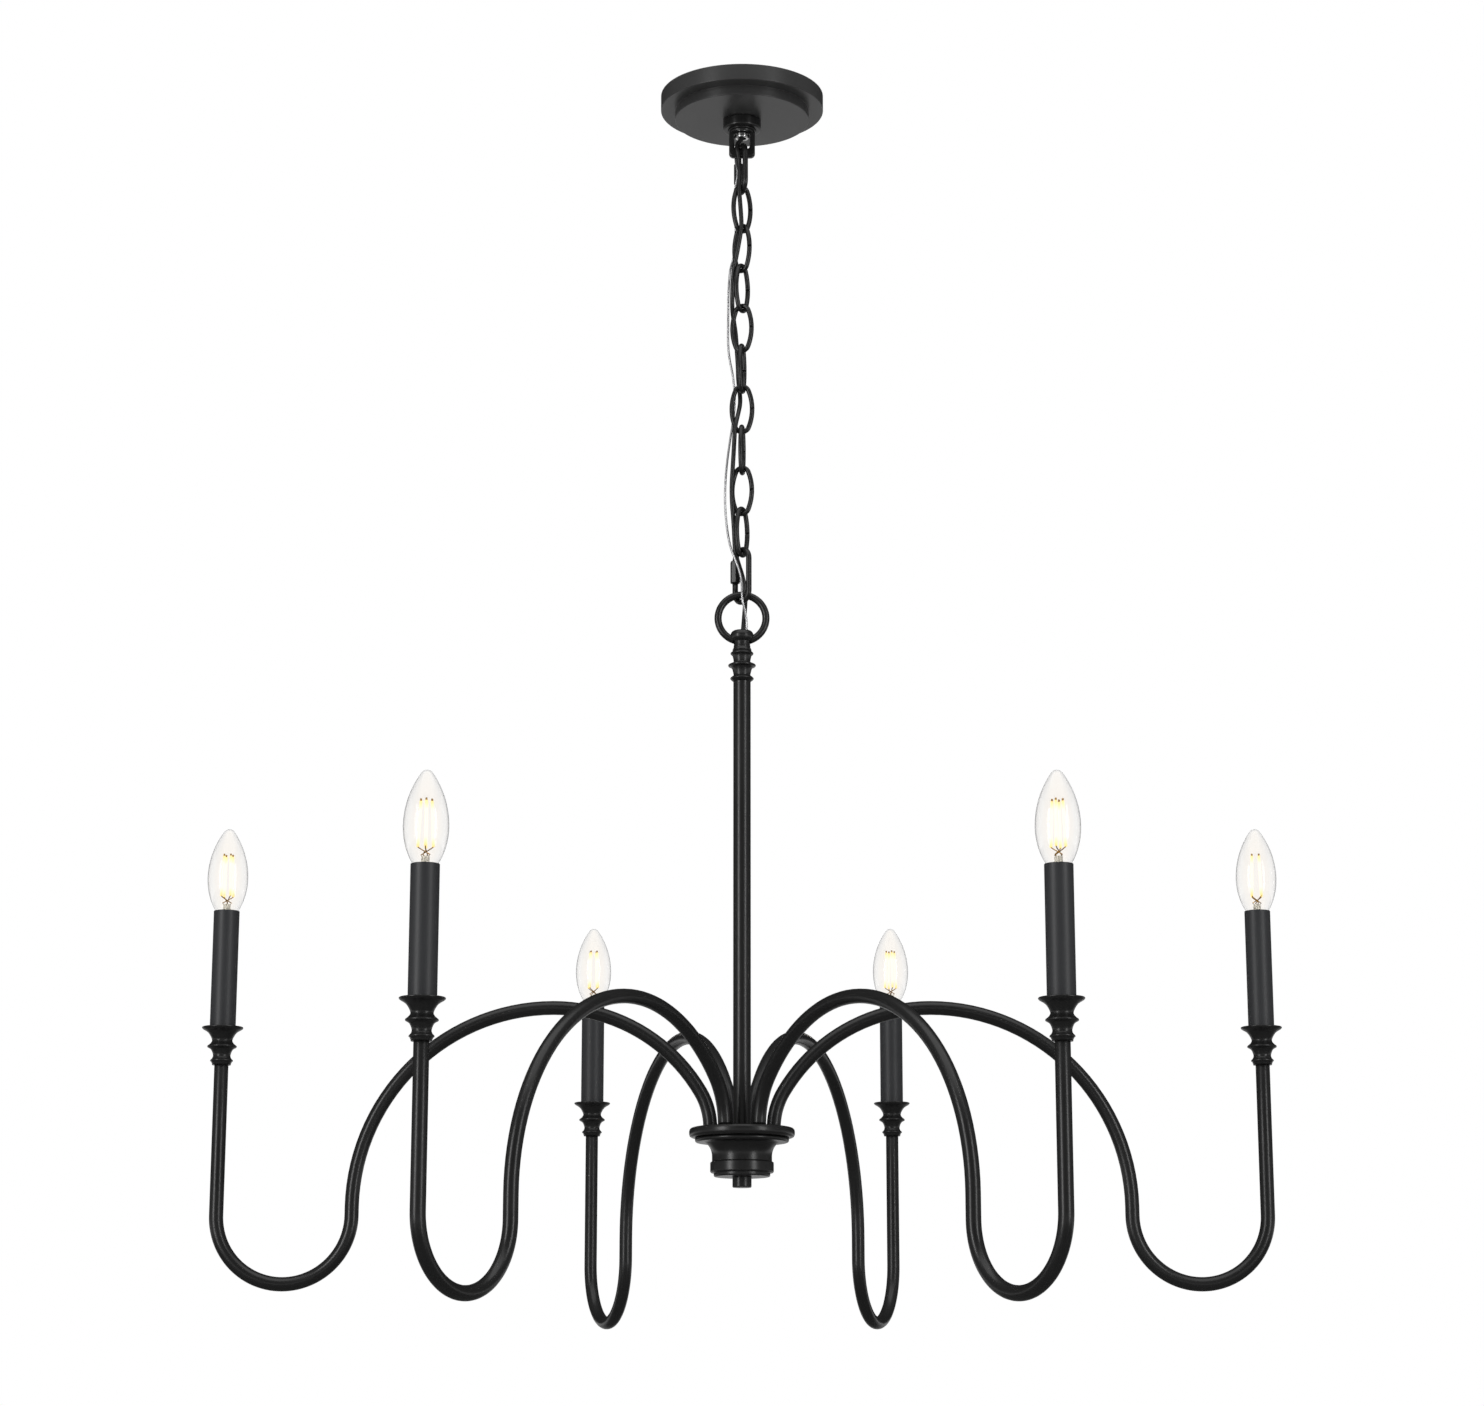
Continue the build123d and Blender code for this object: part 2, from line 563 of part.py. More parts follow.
def arm_path(azimuth, rise):
    """The centre line of an arm: up out of the plate, over the top, down, round the trough and up."""
    top = ARM_TOP_HEIGHT + rise * ARM_TOP_R / CANDLE_R
    trough = ARM_TROUGH_HEIGHT + rise * (ARM_LEG_R + CANDLE_R) / 2 / CANDLE_R
    cup_foot = CUP_SEAT_HEIGHT - CUP_HEIGHT + rise
    reach = ARM_TOP_R - ARM_FOOT_R - ARM_FOOT_BEND
    shoulder = (reach**2 + top**2 - ARM_FOOT_BEND**2) / (2 * (top - ARM_FOOT_BEND))
    foot_angle = 180 - degrees(atan2(shoulder - top, -reach))
    with BuildLine(profile_plane(0, 0, plate_top, azimuth)) as path:
        foot = JernArc((ARM_FOOT_R, 0), (0, 1), ARM_FOOT_BEND, -foot_angle)
        climb = JernArc(foot @ 1, foot % 1, shoulder, foot_angle - 90)
        fall = JernArc(climb @ 1, climb % 1, ARM_LEG_R - ARM_TOP_R, -90)
        leg = Line(fall @ 1, (ARM_LEG_R, trough))
        bend = JernArc(leg @ 1, (0, -1), (CANDLE_R - ARM_LEG_R) / 2, 180)
        Line(bend @ 1, (CANDLE_R, cup_foot))
    return path.wires()[0]


def rod(x, y, height, diameter, length, mode=Mode.ADD):
    """Adds an upright round rod to the active part, or cuts one out of it."""
    with BuildSketch(upright(x, y, height)) as section:
        Circle(diameter / 2)
    extrude(section.sketch, amount=length, mode=mode)


def turned(x, y, base, draw, mode=Mode.ADD):
    """Adds a turned form to the active part: an outline drawn in a half plane, spun about its own axis."""
    with BuildSketch(profile_plane(x, y, base)) as section:
        with BuildLine():
            draw()
        make_face()
    revolve(section.sketch, axis=Axis((x, y, base), (0, 0, 1)), mode=mode)


def cup_outline():
    """Candle cup below its seat: flared rim, waist, sharp bead, neck, ring and foot, bored for the tail."""
    rim = CUP_RIM_D / 2
    bead = CUP_BEAD_D / 2
    ring = CUP_RING_D / 2
    bead_bottom = -CUP_BEAD_DEPTH - CUP_BEAD_THICKNESS
    ring_bottom = -CUP_RING_DEPTH - CUP_RING_THICKNESS
    Spline((rim, -CUP_RIM_THICKNESS), (CUP_WAIST_D / 2, -CUP_WAIST_DEPTH), (bead, -CUP_BEAD_DEPTH),
           tangents=((-1, -0.45), (1, -0.6)))
    Line((bead, -CUP_BEAD_DEPTH), (bead, bead_bottom))
    Spline((bead, bead_bottom), (CUP_NECK_D / 2, -CUP_NECK_DEPTH), (ring, -CUP_RING_DEPTH),
           tangents=((-1, -0.6), (1, -0.6)))
    Polyline((ring, -CUP_RING_DEPTH), (ring, ring_bottom), (CUP_FOOT_D / 2, ring_bottom),
             (CUP_FOOT_D / 2, -CUP_HEIGHT), (ARM_TAIL_HOLE_D / 2, -CUP_HEIGHT), (ARM_TAIL_HOLE_D / 2, 0),
             (rim, 0), (rim, -CUP_RIM_THICKNESS))


def holder_outline():
    """Lampholder above the cup seat: foot on the arm's tail, slim post and socket."""
    Polyline(
        (ARM_TAIL_HOLE_D / 2, 0),
        (HOLDER_FOOT_D / 2, 0),
        (HOLDER_FOOT_D / 2, HOLDER_FOOT_HEIGHT),
        (HOLDER_POST_D / 2, HOLDER_FOOT_HEIGHT),
        (HOLDER_POST_D / 2, HOLDER_SOCKET_BOTTOM),
        (HOLDER_SOCKET_D / 2, HOLDER_SOCKET_BOTTOM + HOLDER_TAPER),
        (HOLDER_SOCKET_D / 2, HOLDER_SOCKET_TOP),
        (HOLDER_BORE_D / 2, HOLDER_SOCKET_TOP),
        (HOLDER_BORE_D / 2, HOLDER_SOCKET_BOTTOM + HOLDER_TAPER + HOLDER_FLOOR),
        (0, HOLDER_SOCKET_BOTTOM + HOLDER_TAPER + HOLDER_FLOOR),
        (0, HOLDER_TAIL_DEPTH + FIT_GAP),
        (ARM_TAIL_HOLE_D / 2, HOLDER_TAIL_DEPTH + FIT_GAP),
        close=True,
    )


def cap_outline():
    """Screw cap of a bulb with its contact."""
    bottom = BULB_GLASS_BOTTOM - CAP_LENGTH
    Polyline(
        (0, BULB_GLASS_BOTTOM),
        (CAP_D / 2, BULB_GLASS_BOTTOM),
        (CAP_D / 2, bottom + CAP_EDGE),
        (CAP_D / 2 - CAP_EDGE, bottom),
        (CAP_TIP_D / 2, bottom),
        (CAP_TIP_D / 2, bottom - CAP_TIP_LENGTH),
        (0, bottom - CAP_TIP_LENGTH),
        close=True,
    )


def bulb_outline(wall, bottom):
    """Outside of a bulb, or of the space inside it when a wall is taken off: belly, long side and round tip."""
    half = BULB_D / 2
    angle = radians(BULB_TIP_ANGLE)
    tip_share = (1 - sin(angle)) / cos(angle)
    side_r = (BULB_TIP - BULB_MIDDLE - half * tip_share) / (sin(angle) - (1 - cos(angle)) * tip_share)
    tip_r = (half - side_r * (1 - cos(angle))) / cos(angle)
    neck_in = (BULB_D - BULB_NECK_D) / 2
    belly_r = (neck_in**2 + BULB_MIDDLE**2) / (2 * neck_in)
    belly_angle = degrees(atan2(BULB_MIDDLE, belly_r - neck_in))
    belly = CenterArc((half - belly_r, BULB_MIDDLE), belly_r - wall, -belly_angle, belly_angle)
    side = CenterArc((half - side_r, BULB_MIDDLE), side_r - wall, 0, BULB_TIP_ANGLE)
    tip = CenterArc((0, BULB_TIP - tip_r), tip_r - wall, BULB_TIP_ANGLE, 90 - BULB_TIP_ANGLE)
    Polyline(tip @ 1, (0, bottom), (BULB_GLASS_BOTTOM_D / 2 - wall, bottom), belly @ 0)


def lead(plane, start, end, width):
    """Adds a straight square bar to the active part, drawn in a vertical plane."""
    with BuildLine(plane) as path:
        wire = Line(start, end)
    with BuildSketch(Plane(origin=wire @ 0, z_dir=wire % 0)) as section:
        Rectangle(width, width)
    sweep(section.sketch, path=path.line)


# Arms, cups, sleeves and bulbs, one of each at every candle
candles = []
for number, (azimuth, rise) in enumerate(arms, start=1):
    x, y, seat = polar(CANDLE_R, azimuth, plate_top + CUP_SEAT_HEIGHT + rise)
    foot_x, foot_y, foot_z = polar(ARM_FOOT_R, azimuth, plate_top)
    candles.append((x, y, seat))

    path = arm_path(azimuth, rise)
    with BuildPart() as arm:
        wire_along(path, ARM_D)
        rod(foot_x, foot_y, foot_z, ARM_TAIL_D, -ARM_TAIL_LENGTH)
        rod(x, y, seat - CUP_HEIGHT, ARM_TAIL_D, CUP_HEIGHT + HOLDER_TAIL_DEPTH)
    save(arm, f"arm_{number}")

    with BuildPart() as cup:
        turned(x, y, seat, cup_outline)
    save(cup, f"candle_cup_{number}")

    with BuildPart() as sleeve:
        rod(x, y, seat, SLEEVE_D, SLEEVE_HEIGHT)
        rod(x, y, seat, SLEEVE_BORE_D, SLEEVE_HEIGHT, Mode.SUBTRACT)
    save(sleeve, f"candle_sleeve_{number}")

    bulb_z = seat + SLEEVE_HEIGHT
    with BuildPart() as glass:
        turned(x, y, bulb_z, lambda: bulb_outline(0, BULB_GLASS_BOTTOM))
        turned(x, y, bulb_z, lambda: bulb_outline(BULB_WALL, BULB_CAVITY_BOTTOM), Mode.SUBTRACT)
    save(glass, f"bulb_glass_{number}")

    with BuildPart() as cap:
        turned(x, y, bulb_z, cap_outline)
    save(cap, f"bulb_cap_{number}")

    with BuildPart() as filament:
        rod(x, y, bulb_z + BULB_CAVITY_BOTTOM, STALK_D, STALK_TOP - BULB_CAVITY_BOTTOM)
        for strip in range(STRIP_COUNT):
            side = profile_plane(x, y, bulb_z, azimuth + 45 + strip * 360 / STRIP_COUNT)
            lead(side, (STRIP_LOW_SPREAD, STRIP_BOTTOM), (STRIP_HIGH_SPREAD, STRIP_TOP), STRIP_WIDTH)
            lead(side, (-STALK_D / 2, STALK_TOP - LEAD_WIDTH), (STRIP_LOW_SPREAD, STRIP_BOTTOM), LEAD_WIDTH)
    save(filament, f"bulb_filament_{number}")

# Lampholders, hidden in the sleeves
with BuildPart() as lampholders:
    for x, y, seat in candles:
        turned(x, y, seat, holder_outline)
save(lampholders, "lampholders")
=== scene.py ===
# %% [markdown]
# # A candle chandelier, piece by piece
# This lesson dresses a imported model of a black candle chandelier. The model gives bodies, joints and
# sizes. Each step below makes one kind of piece in mesh code and lets it ride on the body it belongs to.
# Everything is in metres, with the origin on the ceiling and +Z up.

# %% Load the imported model
from math import atan2, ceil, cos, degrees, pi, radians, sin, sqrt, tan

import bmesh
import bpy
from mathutils import Matrix, Vector


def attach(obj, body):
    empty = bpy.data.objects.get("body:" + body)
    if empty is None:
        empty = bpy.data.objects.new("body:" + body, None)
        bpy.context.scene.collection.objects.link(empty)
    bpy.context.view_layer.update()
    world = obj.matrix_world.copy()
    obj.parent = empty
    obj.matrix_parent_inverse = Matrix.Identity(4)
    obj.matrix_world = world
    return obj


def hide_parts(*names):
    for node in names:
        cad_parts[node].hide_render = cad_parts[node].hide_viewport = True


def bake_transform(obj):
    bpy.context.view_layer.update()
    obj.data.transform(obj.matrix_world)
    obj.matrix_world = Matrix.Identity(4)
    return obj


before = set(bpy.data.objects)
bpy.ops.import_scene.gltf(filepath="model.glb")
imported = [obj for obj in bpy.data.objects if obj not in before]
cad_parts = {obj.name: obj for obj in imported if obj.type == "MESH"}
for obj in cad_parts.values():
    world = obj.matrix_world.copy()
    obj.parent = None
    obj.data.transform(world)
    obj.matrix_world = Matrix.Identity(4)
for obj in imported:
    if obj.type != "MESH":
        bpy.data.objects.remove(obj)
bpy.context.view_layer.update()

# %% [markdown]
# The camera stands in front of the fixture, lower than the hub, and looks up at it. A long lens keeps the
# arms from spreading. No shift is needed, because the tilt alone frames the object.

# %% Camera
CAMERA_PLACE = (0.0, -2.7684, -1.1883)
CAMERA_TILT = 12.63
CAMERA_LENS = 78.55
SENSOR_WIDTH = 36.0

lens = bpy.data.cameras.new("camera")
lens.sensor_width = SENSOR_WIDTH
lens.lens = CAMERA_LENS
camera = bpy.data.objects.new("camera", lens)
camera.location = CAMERA_PLACE
camera.rotation_euler = (radians(90 + CAMERA_TILT), 0, 0)
bpy.context.scene.collection.objects.link(camera)
bpy.context.scene.camera = camera
print("camera at", tuple(camera.location), "lens", lens.lens)

# %% [markdown]
# Painted metal needs something to reflect. The world is white where the camera looks. In reflections it is
# white below the horizon and dim above it, least dim at the sides and nearly black behind, so that tubes
# get dark edges against the white. The floor is pale, and its near part is painted dark grey for
# reflections only, a painted reflection in place of a flag. Three soft boxes draw the long highlights.

# %% World
FRONT_SHADE = 0.10
SIDE_SHADE = 0.22
BACK_SHADE = 0.04
BACK_START = 0.85
BELOW_SHADE = 0.90
HORIZON_BLUR = 0.08
AMBIENT = 0.50


def grey(shade):
    """A grey as a colour value."""
    return (shade, shade, shade, 1)


world = bpy.data.worlds.new("studio")
bpy.context.scene.world = world
world.use_nodes = True
tree = world.node_tree
tree.nodes.clear()
path = tree.nodes.new("ShaderNodeLightPath")
where = tree.nodes.new("ShaderNodeTexCoord")
split = tree.nodes.new("ShaderNodeSeparateXYZ")
tree.links.new(where.outputs["Generated"], split.inputs[0])
depth = tree.nodes.new("ShaderNodeMapRange")
depth.inputs["From Min"].default_value = -1.0
tree.links.new(split.outputs["Y"], depth.inputs["Value"])
above = tree.nodes.new("ShaderNodeValToRGB")
above.color_ramp.elements[0].color = grey(FRONT_SHADE)
above.color_ramp.elements[1].color = grey(BACK_SHADE)
above.color_ramp.elements[1].position = BACK_START
middle = above.color_ramp.elements.new(0.5)
middle.color = grey(SIDE_SHADE)
tree.links.new(depth.outputs["Result"], above.inputs["Fac"])
height = tree.nodes.new("ShaderNodeMapRange")
height.inputs["From Min"].default_value = -HORIZON_BLUR
height.inputs["From Max"].default_value = 0.0
tree.links.new(split.outputs["Z"], height.inputs["Value"])
studio = tree.nodes.new("ShaderNodeMix")
studio.data_type = "RGBA"
studio.inputs["A"].default_value = grey(BELOW_SHADE)
tree.links.new(height.outputs["Result"], studio.inputs["Factor"])
tree.links.new(above.outputs["Color"], studio.inputs["B"])


def background(colour_socket=None, strength=1.0):
    """A background shader of one strength, white or coloured by a socket."""
    shader = tree.nodes.new("ShaderNodeBackground")
    shader.inputs["Color"].default_value = (1, 1, 1, 1)
    shader.inputs["Strength"].default_value = strength
    if colour_socket:
        tree.links.new(colour_socket, shader.inputs["Color"])
    return shader.outputs[0]


def choose(mask, otherwise, chosen):
    """Takes one background where the mask is 0 and the other where it is 1."""
    mix = tree.nodes.new("ShaderNodeMixShader")
    tree.links.new(mask, mix.inputs[0])
    tree.links.new(otherwise, mix.inputs[1])
    tree.links.new(chosen, mix.inputs[2])
    return mix.outputs[0]


lit = background(strength=AMBIENT)
lit = choose(path.outputs["Is Glossy Ray"], lit, background(studio.outputs["Result"]))
lit = choose(path.outputs["Is Transmission Ray"], lit, background())
lit = choose(path.outputs["Is Camera Ray"], lit, background())
out = tree.nodes.new("ShaderNodeOutputWorld")
tree.links.new(lit, out.inputs["Surface"])
bpy.context.scene.view_settings.view_transform = "Standard"
print("world nodes", len(tree.nodes))

# %% Floor and soft boxes
FLOOR_LEVEL = -2.1
FLOOR_SIZE = 14.0
FLOOR_SHADE = 0.86
FLOOR_ROUGHNESS = 0.9
PAINTED_REFLECTION_SHADE = 0.12
PAINTED_REFLECTION_START = 2.0
PAINTED_REFLECTION_END = 3.5
SOFT_BOXES = {
    "left_box": ((-2.2, -2.2, -0.3), (0.70, 2.2), 30.0),
    "right_box": ((2.2, -2.2, -0.3), (0.60, 2.2), 22.0),
    "top_box": ((0.0, -0.9, 1.6), (3.6, 2.4), 30.0),
}
AIM = Vector((0, 0, -0.75))


def link(piece):
    """Puts an object in the scene."""
    bpy.context.scene.collection.objects.link(piece)
    return piece


def new_finish(name):
    """A material, with its nodes, its links and its main shader."""
    finish = bpy.data.materials.new(name)
    finish.use_nodes = True
    graph = finish.node_tree
    return finish, graph.nodes, graph.links, graph.nodes["Principled BSDF"]


sheet = bmesh.new()
bmesh.ops.create_grid(sheet, x_segments=1, y_segments=1, size=FLOOR_SIZE / 2)
sheet_mesh = bpy.data.meshes.new("floor")
sheet.to_mesh(sheet_mesh)
floor = link(bpy.data.objects.new("floor", sheet_mesh))
floor.location.z = FLOOR_LEVEL
floor_paint, floor_nodes, floor_links, floor_shader = new_finish("pale_floor")
floor_shader.inputs["Roughness"].default_value = FLOOR_ROUGHNESS
floor_place = floor_nodes.new("ShaderNodeTexCoord")
floor_split = floor_nodes.new("ShaderNodeSeparateXYZ")
floor_links.new(floor_place.outputs["Object"], floor_split.inputs[0])
# Painted reflection: the floor's near part turns dark grey for glossy rays only.
near = floor_nodes.new("ShaderNodeMapRange")
near.inputs["From Min"].default_value = PAINTED_REFLECTION_END
near.inputs["From Max"].default_value = PAINTED_REFLECTION_START
floor_links.new(floor_split.outputs["Y"], near.inputs["Value"])
seen_by = floor_nodes.new("ShaderNodeLightPath")
painted_reflection_mask = floor_nodes.new("ShaderNodeMath")
painted_reflection_mask.operation = "MULTIPLY"
floor_links.new(seen_by.outputs["Is Glossy Ray"], painted_reflection_mask.inputs[0])
floor_links.new(near.outputs["Result"], painted_reflection_mask.inputs[1])
painted_reflection = floor_nodes.new("ShaderNodeMix")
painted_reflection.data_type = "RGBA"
painted_reflection.inputs["A"].default_value = grey(FLOOR_SHADE)
painted_reflection.inputs["B"].default_value = grey(PAINTED_REFLECTION_SHADE)
floor_links.new(painted_reflection_mask.outputs[0], painted_reflection.inputs["Factor"])
floor_links.new(painted_reflection.outputs["Result"], floor_shader.inputs["Base Color"])
sheet_mesh.materials.append(floor_paint)

for name, (place, size, watts) in SOFT_BOXES.items():
    lamp = bpy.data.lights.new(name, "AREA")
    lamp.shape = "RECTANGLE"
    lamp.size, lamp.size_y = size
    lamp.energy = watts
    lamp_object = link(bpy.data.objects.new(name, lamp))
    lamp_object.location = place
    lamp_object.rotation_euler = (AIM - Vector(place)).to_track_quat("-Z", "Y").to_euler()
print("soft boxes", len(SOFT_BOXES))

# %% [markdown]
# Two helpers make nearly every piece. A turned part is a half section spun about a vertical axis, as on a
# lathe. A bent part is a circle carried along a line, as in a tube bender. A screw modifier and a bevelled
# curve would also do, but plain mesh code keeps every edge where the section says.

# %% Turning and bending helpers
TURN_STEPS = 72
WIRE_SIDES = 24
FLAT_WEIGHT = 90
LARGEST_SHARE = 0.49
ON_AXIS = 1e-6


def to_mesh(name, mesh_data, smooth=True):
    """Turns mesh data built in bmesh into a mesh, smooth or flat."""
    mesh = bpy.data.meshes.new(name)
    mesh_data.to_mesh(mesh)
    mesh_data.free()
    mesh.polygons.foreach_set("use_smooth", [smooth] * len(mesh.polygons))
    return mesh


def to_object(name, mesh, flats=True):
    """Puts a mesh in the scene. Weighted normals keep its flats flat beside small roundings."""
    piece = link(bpy.data.objects.new(name, mesh))
    if flats:
        weights = piece.modifiers.new("flat_faces", "WEIGHTED_NORMAL")
        weights.weight = FLAT_WEIGHT
    return piece


def build(name, mesh_data, smooth=True):
    """A piece of its own from mesh data."""
    return to_object(name, to_mesh(name, mesh_data, smooth))


def soften(corners, steps=4):
    """Rounds the corners of a half section: radius, height and rounding, at most half a side long."""
    line = []
    count = len(corners)
    for index, (r, z, round_r) in enumerate(corners):
        before = Vector(corners[index - 1][:2]) - Vector((r, z))
        after = Vector(corners[(index + 1) % count][:2]) - Vector((r, z))
        if round_r == 0:
            line.append((r, z))
            continue
        half_angle = before.angle(after) / 2
        shorter = min(before.length, after.length)
        set_back = min(round_r / tan(half_angle), LARGEST_SHARE * shorter)
        start = Vector((r, z)) + before.normalized() * set_back
        end = Vector((r, z)) + after.normalized() * set_back
        for step in range(steps + 1):
            t = step / steps
            point = start * (1 - t) ** 2 + Vector((r, z)) * 2 * t * (1 - t) + end * t * t
            line.append((point.x, point.y))
    return line


def turn_angles(steps):
    """Even angles around a full turn."""
    return [2 * pi * step / steps for step in range(steps)]


def ring_of(target, r, z, steps):
    """Adds a level ring of vertices to mesh data."""
    return [target.verts.new((r * cos(a), r * sin(a), z)) for a in turn_angles(steps)]


def skin(target, rings, closed=True):
    """Joins rings of vertices by faces, and the last to the first where the rings close up."""
    followers = rings[1:] + rings[:1] if closed else rings[1:]
    for ring, following in zip(rings, followers):
        for step in range(len(ring)):
            ahead = (step + 1) % len(ring)
            corners = dict.fromkeys((ring[step], ring[ahead], following[ahead], following[step]))
            if len(corners) > 2:
                target.faces.new(list(corners))


def turned_mesh(name, section, steps=TURN_STEPS):
    """Spins a closed half section about the vertical axis, with the normals facing out of it."""
    pairs = zip(section, section[1:] + section[:1])
    if sum(r * next_z - next_r * z for (r, z), (next_r, next_z) in pairs) < 0:
        section = section[::-1]
    spun = bmesh.new()
    rings = []
    for r, z in section:
        if r < ON_AXIS:
            rings.append([spun.verts.new((0, 0, z))] * steps)
        else:
            rings.append(ring_of(spun, r, z, steps))
    skin(spun, rings)
    return to_mesh(name, spun)


def turn(name, section, steps=TURN_STEPS):
    """A turned piece of its own, standing on the fixture's axis."""
    return to_object(name, turned_mesh(name, section, steps))


def add_tube(target, points, radius, sides=WIRE_SIDES):
    """Adds a round bar along points to mesh data, with a frame that doesn't twist."""
    points = [Vector(point) for point in points]
    count = len(points)
    across = None
    rings = []
    for index, point in enumerate(points):
        ahead = (points[min(index + 1, count - 1)] - points[max(index - 1, 0)]).normalized()
        if across is None:
            across = ahead.orthogonal().normalized()
        across = (across - ahead * across.dot(ahead)).normalized()
        up = ahead.cross(across)
        ring = [point + (across * cos(a) + up * sin(a)) * radius for a in turn_angles(sides)]
        rings.append([target.verts.new(corner) for corner in ring])
    skin(target, rings, closed=False)
    target.faces.new(rings[0][::-1])
    target.faces.new(rings[-1])


def arc(centre, radius, start, end, steps):
    """Points on an arc in a plane, from one angle in degrees to another."""
    angles = [radians(start + (end - start) * step / steps) for step in range(steps + 1)]
    return [(centre[0] + radius * cos(a), centre[1] + radius * sin(a)) for a in angles]


print("helpers ready, turned parts get", TURN_STEPS, "steps")

# %% [markdown]
# Nearly all the pieces share a fine grain, most of all the powder-coated black ones. Such an effect is
# best made once, as a node group with its own sockets, and placed in each material with other values. The
# group gives a mask for small shifts in colour, a roughness and a height for the bump.

# %% Grain group
FINE_DETAIL = 3.0
BROAD_SCALE = 14.0
BROAD_DETAIL = 2.0

grain = bpy.data.node_groups.new("coat_grain", "ShaderNodeTree")
for name, low, high in (("Scale", 1.0, 4000.0), ("Roughness", 0.0, 1.0), ("Spread", 0.0, 1.0)):
    socket = grain.interface.new_socket(name, in_out="INPUT", socket_type="NodeSocketFloat")
    socket.min_value, socket.max_value = low, high
for name in ("Tint", "Roughness", "Height"):
    grain.interface.new_socket(name, in_out="OUTPUT", socket_type="NodeSocketFloat")
enter = grain.nodes.new("NodeGroupInput")
leave = grain.nodes.new("NodeGroupOutput")
place = grain.nodes.new("ShaderNodeTexCoord")
fine = grain.nodes.new("ShaderNodeTexNoise")
fine.inputs["Detail"].default_value = FINE_DETAIL
grain.links.new(place.outputs["Object"], fine.inputs["Vector"])
grain.links.new(enter.outputs["Scale"], fine.inputs["Scale"])
broad = grain.nodes.new("ShaderNodeTexNoise")
broad.inputs["Scale"].default_value = BROAD_SCALE
broad.inputs["Detail"].default_value = BROAD_DETAIL
grain.links.new(place.outputs["Object"], broad.inputs["Vector"])
centred = grain.nodes.new("ShaderNodeMath")
centred.operation = "SUBTRACT"
centred.inputs[1].default_value = 0.5
grain.links.new(broad.outputs["Fac"], centred.inputs[0])
rougher = grain.nodes.new("ShaderNodeMath")
rougher.operation = "MULTIPLY_ADD"
grain.links.new(centred.outputs[0], rougher.inputs[0])
grain.links.new(enter.outputs["Spread"], rougher.inputs[1])
grain.links.new(enter.outputs["Roughness"], rougher.inputs[2])
grain.links.new(broad.outputs["Fac"], leave.inputs["Tint"])
grain.links.new(rougher.outputs[0], leave.inputs["Roughness"])
grain.links.new(fine.outputs["Fac"], leave.inputs["Height"])
print("group", grain.name, "sockets", len(grain.interface.items_tree))

# %% [markdown]
# A coated finish is one Principled shader. The group feeds its colour, its roughness and a small bump.
# Numbers that don't vary over the surface are set on the shader itself.

# %% Coated finishes
COAT_GRAIN = 900.0
FINE_GRAIN = 1200.0
CORD_GRAIN = 1600.0
WIRE_GRAIN = 2400.0
COAT_BUMP = 0.000006
COARSE_BUMP = 0.00001
FAINT_BUMP = 0.000003
CORD_BUMP = 0.000004


def coated(name, dark, light, roughness, scale=COAT_GRAIN, bump=COAT_BUMP, metallic=0.0, spread=0.12):
    """A finish with grain: two close colours, a roughness and a bump height in metres."""
    finish, nodes, links, shader = new_finish(name)
    shader.inputs["Metallic"].default_value = metallic
    texture = nodes.new("ShaderNodeGroup")
    texture.node_tree = grain
    texture.inputs["Scale"].default_value = scale
    texture.inputs["Roughness"].default_value = roughness
    texture.inputs["Spread"].default_value = spread
    colour = nodes.new("ShaderNodeMix")
    colour.data_type = "RGBA"
    colour.inputs["A"].default_value = (*dark, 1)
    colour.inputs["B"].default_value = (*light, 1)
    links.new(texture.outputs["Tint"], colour.inputs["Factor"])
    links.new(colour.outputs["Result"], shader.inputs["Base Color"])
    links.new(texture.outputs["Roughness"], shader.inputs["Roughness"])
    relief = nodes.new("ShaderNodeBump")
    relief.inputs["Distance"].default_value = bump
    links.new(texture.outputs["Height"], relief.inputs["Height"])
    links.new(relief.outputs["Normal"], shader.inputs["Normal"])
    return finish


satin_black = coated("satin_black", (0.006, 0.006, 0.006), (0.011, 0.011, 0.011), 0.30)
# Painted light: the canopy has the same black paint as the arms, made lighter to stand in for the floor's
# reflection under it.
canopy_black_painted_light = coated("canopy_black_painted_light", (0.026, 0.026, 0.026), (0.034, 0.034, 0.034), 0.32)
sleeve_black = coated("sleeve_black", (0.018, 0.019, 0.021), (0.026, 0.027, 0.030), 0.46, FINE_GRAIN)
chain_black = coated("chain_black", (0.006, 0.006, 0.006), (0.012, 0.012, 0.012), 0.30, FINE_GRAIN)
zinc_plate = coated(
    "zinc_plate", (0.50, 0.49, 0.46), (0.62, 0.61, 0.58), 0.34, bump=COARSE_BUMP, metallic=1.0, spread=0.3
)
bright_zinc = coated(
    "bright_zinc", (0.78, 0.78, 0.77), (0.86, 0.86, 0.85), 0.18, bump=FAINT_BUMP, metallic=1.0, spread=0.1
)
cap_nickel = coated("cap_nickel", (0.60, 0.57, 0.50), (0.72, 0.69, 0.62), 0.28, metallic=1.0, spread=0.2)
holder_black = coated(
    "holder_black", (0.020, 0.020, 0.021), (0.032, 0.032, 0.033), 0.50, FINE_GRAIN, COARSE_BUMP
)
flex_black = coated("flex_black", (0.006, 0.006, 0.006), (0.012, 0.012, 0.012), 0.32, CORD_GRAIN, CORD_BUMP)
earth_silver = coated(
    "earth_silver", (0.52, 0.52, 0.53), (0.70, 0.70, 0.71), 0.25,
    CORD_GRAIN, CORD_BUMP, metallic=0.8, spread=0.1,
)
print("coated finishes", grain.users)

# %% [markdown]
# Most pieces get their finish, the body that they ride on and the solids that they stand for in one call.

